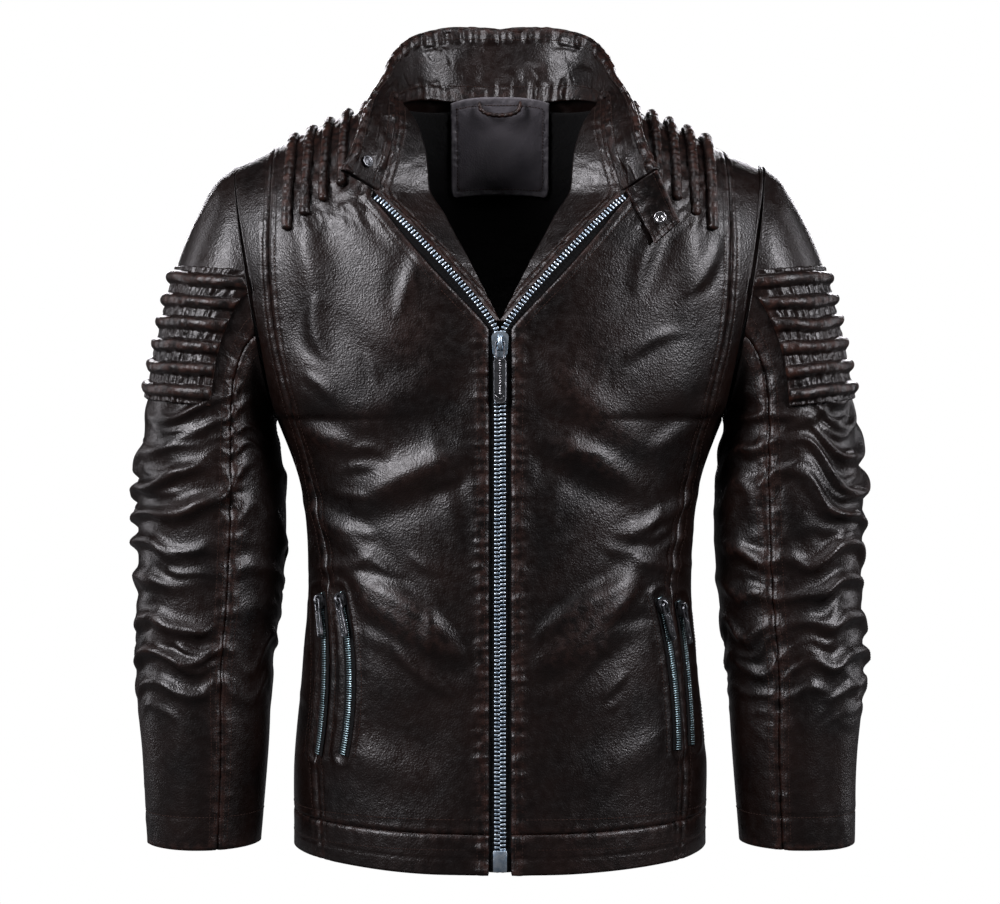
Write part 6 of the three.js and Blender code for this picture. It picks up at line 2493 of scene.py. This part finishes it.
@dataclass
class PocketZip:
    """One pocket's zip, an arc in a plane that touches the front."""

    name: str
    half: float = 3.4
    tape_half: float = 5.6
    pitch: float = 1.9

    def __post_init__(self) -> None:
        """Reads the arc from the frame's joint and chain."""
        travel = joint(f"zip_travel_{self.name}")
        self.side = Side.LEFT if self.name.startswith("left") else Side.RIGHT
        self.centre = from_frame(travel["pos_m"])
        self.out = -unit(np.array(travel["axis"], float))
        node = frame["nodes"][f"pocket_zip_{self.name}"]
        points = np.array([from_frame(v.co) for v in node.data.vertices]) - self.centre
        flat = points - np.outer(points @ self.out, self.out)
        self.radius = (np.linalg.norm(flat, axis=1).min() + np.linalg.norm(flat, axis=1).max()) / 2
        self.middle = unit(flat.mean(axis=0))
        self.up = np.cross(self.out, self.middle)
        if self.up[2] < 0:
            self.up = -self.up
        self.reach = float(np.max(np.arctan2(flat @ self.up, flat @ self.middle)))

    def at(self, along: Array, aside: Array, out: Array | float) -> Array:
        """A point of the zip: angle along it, across it and out of it."""
        reach = (self.radius + aside)[..., None]
        ray = self.middle * np.cos(along)[..., None] + self.up * np.sin(along)[..., None]
        return self.centre + reach * ray + self.out * np.broadcast_to(out, along.shape)[..., None]

    def path(self) -> Array:
        """The arc on the flat map of its front: distance from the centre line, and height."""
        along = np.linspace(-self.reach, self.reach, 16)
        points = self.at(along, 0 * along, 0.0)
        return np.stack([np.abs(points[:, 0]), points[:, 2]], -1)

    def build(self, shop: Workshop) -> None:
        """Makes the tape, the teeth, and the slider with its puller."""
        along, aside = np.meshgrid(
            np.linspace(-self.reach, self.reach, 150), np.linspace(-self.tape_half, self.tape_half, 14),
            indexing="ij"
        )
        weave = 0.22 * Noise(57).at(along * self.radius / 1.5, aside / 1.5)
        outer, inner = self.at(along, aside, -1.5 + weave), self.at(along, aside, -2.3)
        tape = shell(f"pocket_tape_{self.name}", outer, inner)
        dress(tape, shop.wardrobe.tape, "zip_tape")
        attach(tape, "root")
        angle = np.linspace(-self.reach * 0.985, self.reach * 0.985, 400)
        line = self.at(angle, 0 * angle, -0.75)
        row = shop.rows.row(
            f"pocket_teeth_{self.name}", [(line, self.out)], shop.shapes.small_tooth, self.pitch,
            shop.wardrobe.pocket_teeth,
        )
        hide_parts(f"pocket_zip_{self.name}")
        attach(row, "root")
        hinge = joint(f"puller_hinge_{self.name}")
        across = -unit(np.array(hinge["axis"], float))
        up = unit(np.cross(self.out, across))
        place = Place(from_frame(hinge["pos_m"]), across, self.out, up)
        size = SliderSize(5.2, 13, 3.4, 9, 3.2, 21)
        ZipHardware(
            shop, f"pocket_{self.name}", place, size, f"pocket_slider_{self.name}",
            f"pocket_puller_{self.name}",
            shop.wardrobe.gunmetal, "gunmetal",
        ).build()


# ---------------------------------------------------------------- the studio


@dataclass
class Studio:
    """Plain floor, soft lights and the camera."""

    eye: tuple = (0.0, -1.8, -0.290)
    lens: float = 76.0
    floor_drop: float = 0.05
    floor_radius: float = 14.0
    floor_sides: int = 96

    def light(
        self, name: str, place: Sequence[float], aim: Sequence[float], size: tuple, power: float,
        tint: tuple = (1, 1, 1)
    ) -> bpy.types.Object:
        """One soft rectangular light.

        Args:
            name: the light's name.
            place: where it stands.
            aim: what it looks at.
            size: its width and height.
            power: its power in watts.
            tint: its colour.

        Returns:
            The light's object.
        """
        data = bpy.data.lights.new(name, "AREA")
        data.shape, data.size, data.size_y = "RECTANGLE", size[0], size[1]
        data.energy, data.color = power, tint
        lamp = bpy.data.objects.new(name, data)
        lamp.location = place
        lamp.rotation_euler = (Vector(aim) - Vector(place)).to_track_quat("-Z", "Y").to_euler()
        bpy.context.scene.collection.objects.link(lamp)
        return lamp

    def floor(self) -> None:
        """A wide floor, plain white to the camera and near black to the light that the jacket sees."""
        low, radius, sides = CAD_BOX[0].z - self.floor_drop, self.floor_radius, self.floor_sides
        mesh = bpy.data.meshes.new("floor")
        turns = np.linspace(0, 2 * math.pi, sides, endpoint=False)
        ring = [(radius * math.cos(a), radius * math.sin(a), low) for a in turns]
        mesh.from_pydata(ring, [], [list(range(sides))])
        floor = bpy.data.objects.new("floor", mesh)
        bpy.context.scene.collection.objects.link(floor)
        material, tree, shader = fresh_material("pale_floor")
        shader.inputs["Base Color"].default_value = (0.05, 0.05, 0.05, 1)
        shader.inputs["Roughness"].default_value = 0.9
        glow, path = tree.nodes.new("ShaderNodeEmission"), tree.nodes.new("ShaderNodeLightPath")
        glow.inputs["Strength"].default_value = 1.0
        blend = tree.nodes.new("ShaderNodeMixShader")
        tree.links.new(path.outputs["Is Camera Ray"], blend.inputs[0])
        tree.links.new(shader.outputs[0], blend.inputs[1])
        tree.links.new(glow.outputs[0], blend.inputs[2])
        tree.links.new(blend.outputs[0], tree.nodes["Material Output"].inputs[0])
        mesh.materials.append(material)
        floor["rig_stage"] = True

    def room(self) -> None:
        """White behind the object, dim all round it."""
        world = bpy.data.worlds.new("studio")
        bpy.context.scene.world = world
        world.use_nodes = True
        tree = world.node_tree
        dim, white = tree.nodes["Background"], tree.nodes.new("ShaderNodeBackground")
        dim.inputs[0].default_value, dim.inputs[1].default_value = (0.9, 0.93, 1.0, 1), 0.02
        white.inputs[0].default_value, white.inputs[1].default_value = (1, 1, 1, 1), 1.0
        path, blend = tree.nodes.new("ShaderNodeLightPath"), tree.nodes.new("ShaderNodeMixShader")
        tree.links.new(path.outputs["Is Camera Ray"], blend.inputs[0])
        tree.links.new(dim.outputs[0], blend.inputs[1])
        tree.links.new(white.outputs[0], blend.inputs[2])
        tree.links.new(blend.outputs[0], tree.nodes["World Output"].inputs[0])

    def build(self) -> None:
        """Sets up the studio."""
        bpy.context.scene.view_settings.view_transform = "Standard"
        self.floor()
        self.room()
        cool = (0.97, 0.95, 1.0)
        self.light("key_left", (-1.55, -1.35, 0.62), (0, 0, -0.2), (0.62, 1.05), 41, cool)
        self.light("key_right", (1.6, -1.3, 0.58), (0, 0, -0.2), (0.54, 1.0), 31, cool)
        self.light("top", (0, -0.7, 1.6), (0, 0, -0.1), (1.1, 0.35), 7, cool)
        self.light("rim_left", (-1.7, 0.5, 0.0), (0, 0, -0.3), (0.25, 1.6), 6, cool)
        self.light("rim_right", (1.7, 0.5, 0.0), (0, 0, -0.3), (0.25, 1.6), 6, cool)
        self.light("back_left", (-0.7, 2.1, 0.7), (0, 0, -0.2), (0.6, 1.05), 26, cool)
        self.light("back_right", (0.8, 2.1, 0.7), (0, 0, -0.2), (0.6, 1.05), 20, cool)
        data = bpy.data.cameras.new("camera")
        data.lens, data.sensor_width = self.lens, 36.0
        camera = bpy.data.objects.new("camera", data)
        camera.location = self.eye
        camera.rotation_euler = (QUARTER, 0, 0)
        bpy.context.scene.collection.objects.link(camera)
        bpy.context.scene.camera = camera


def main() -> None:
    """Builds the jacket, sub-assembly by sub-assembly."""
    logging.basicConfig(level=logging.INFO, format="%(message)s")
    pockets = [PocketZip(f"{side.word}_{place}") for side in Side for place in ("inner", "outer")]
    torso = Torso()
    for side in Side:
        torso.pocket_paths[side] = [pocket.path() for pocket in pockets if pocket.side is side]
    shop = Workshop(torso, Wardrobe(), RowMaker(), SmallShapes())
    body = BodyShell(shop)
    body.build()
    ShoulderCords(shop).build()
    for side in Side:
        Sleeve(shop, side).build()
    Collar(shop).build()
    NeckInside(shop).build(body)
    FrontZip(shop).build()
    for pocket in pockets:
        pocket.build(shop)
    shop.shapes.drop()
    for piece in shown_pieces():
        LOG.info("%s on %s", piece.name, body_of(piece))
    Studio().build()


if __name__ == "__main__":
    main()
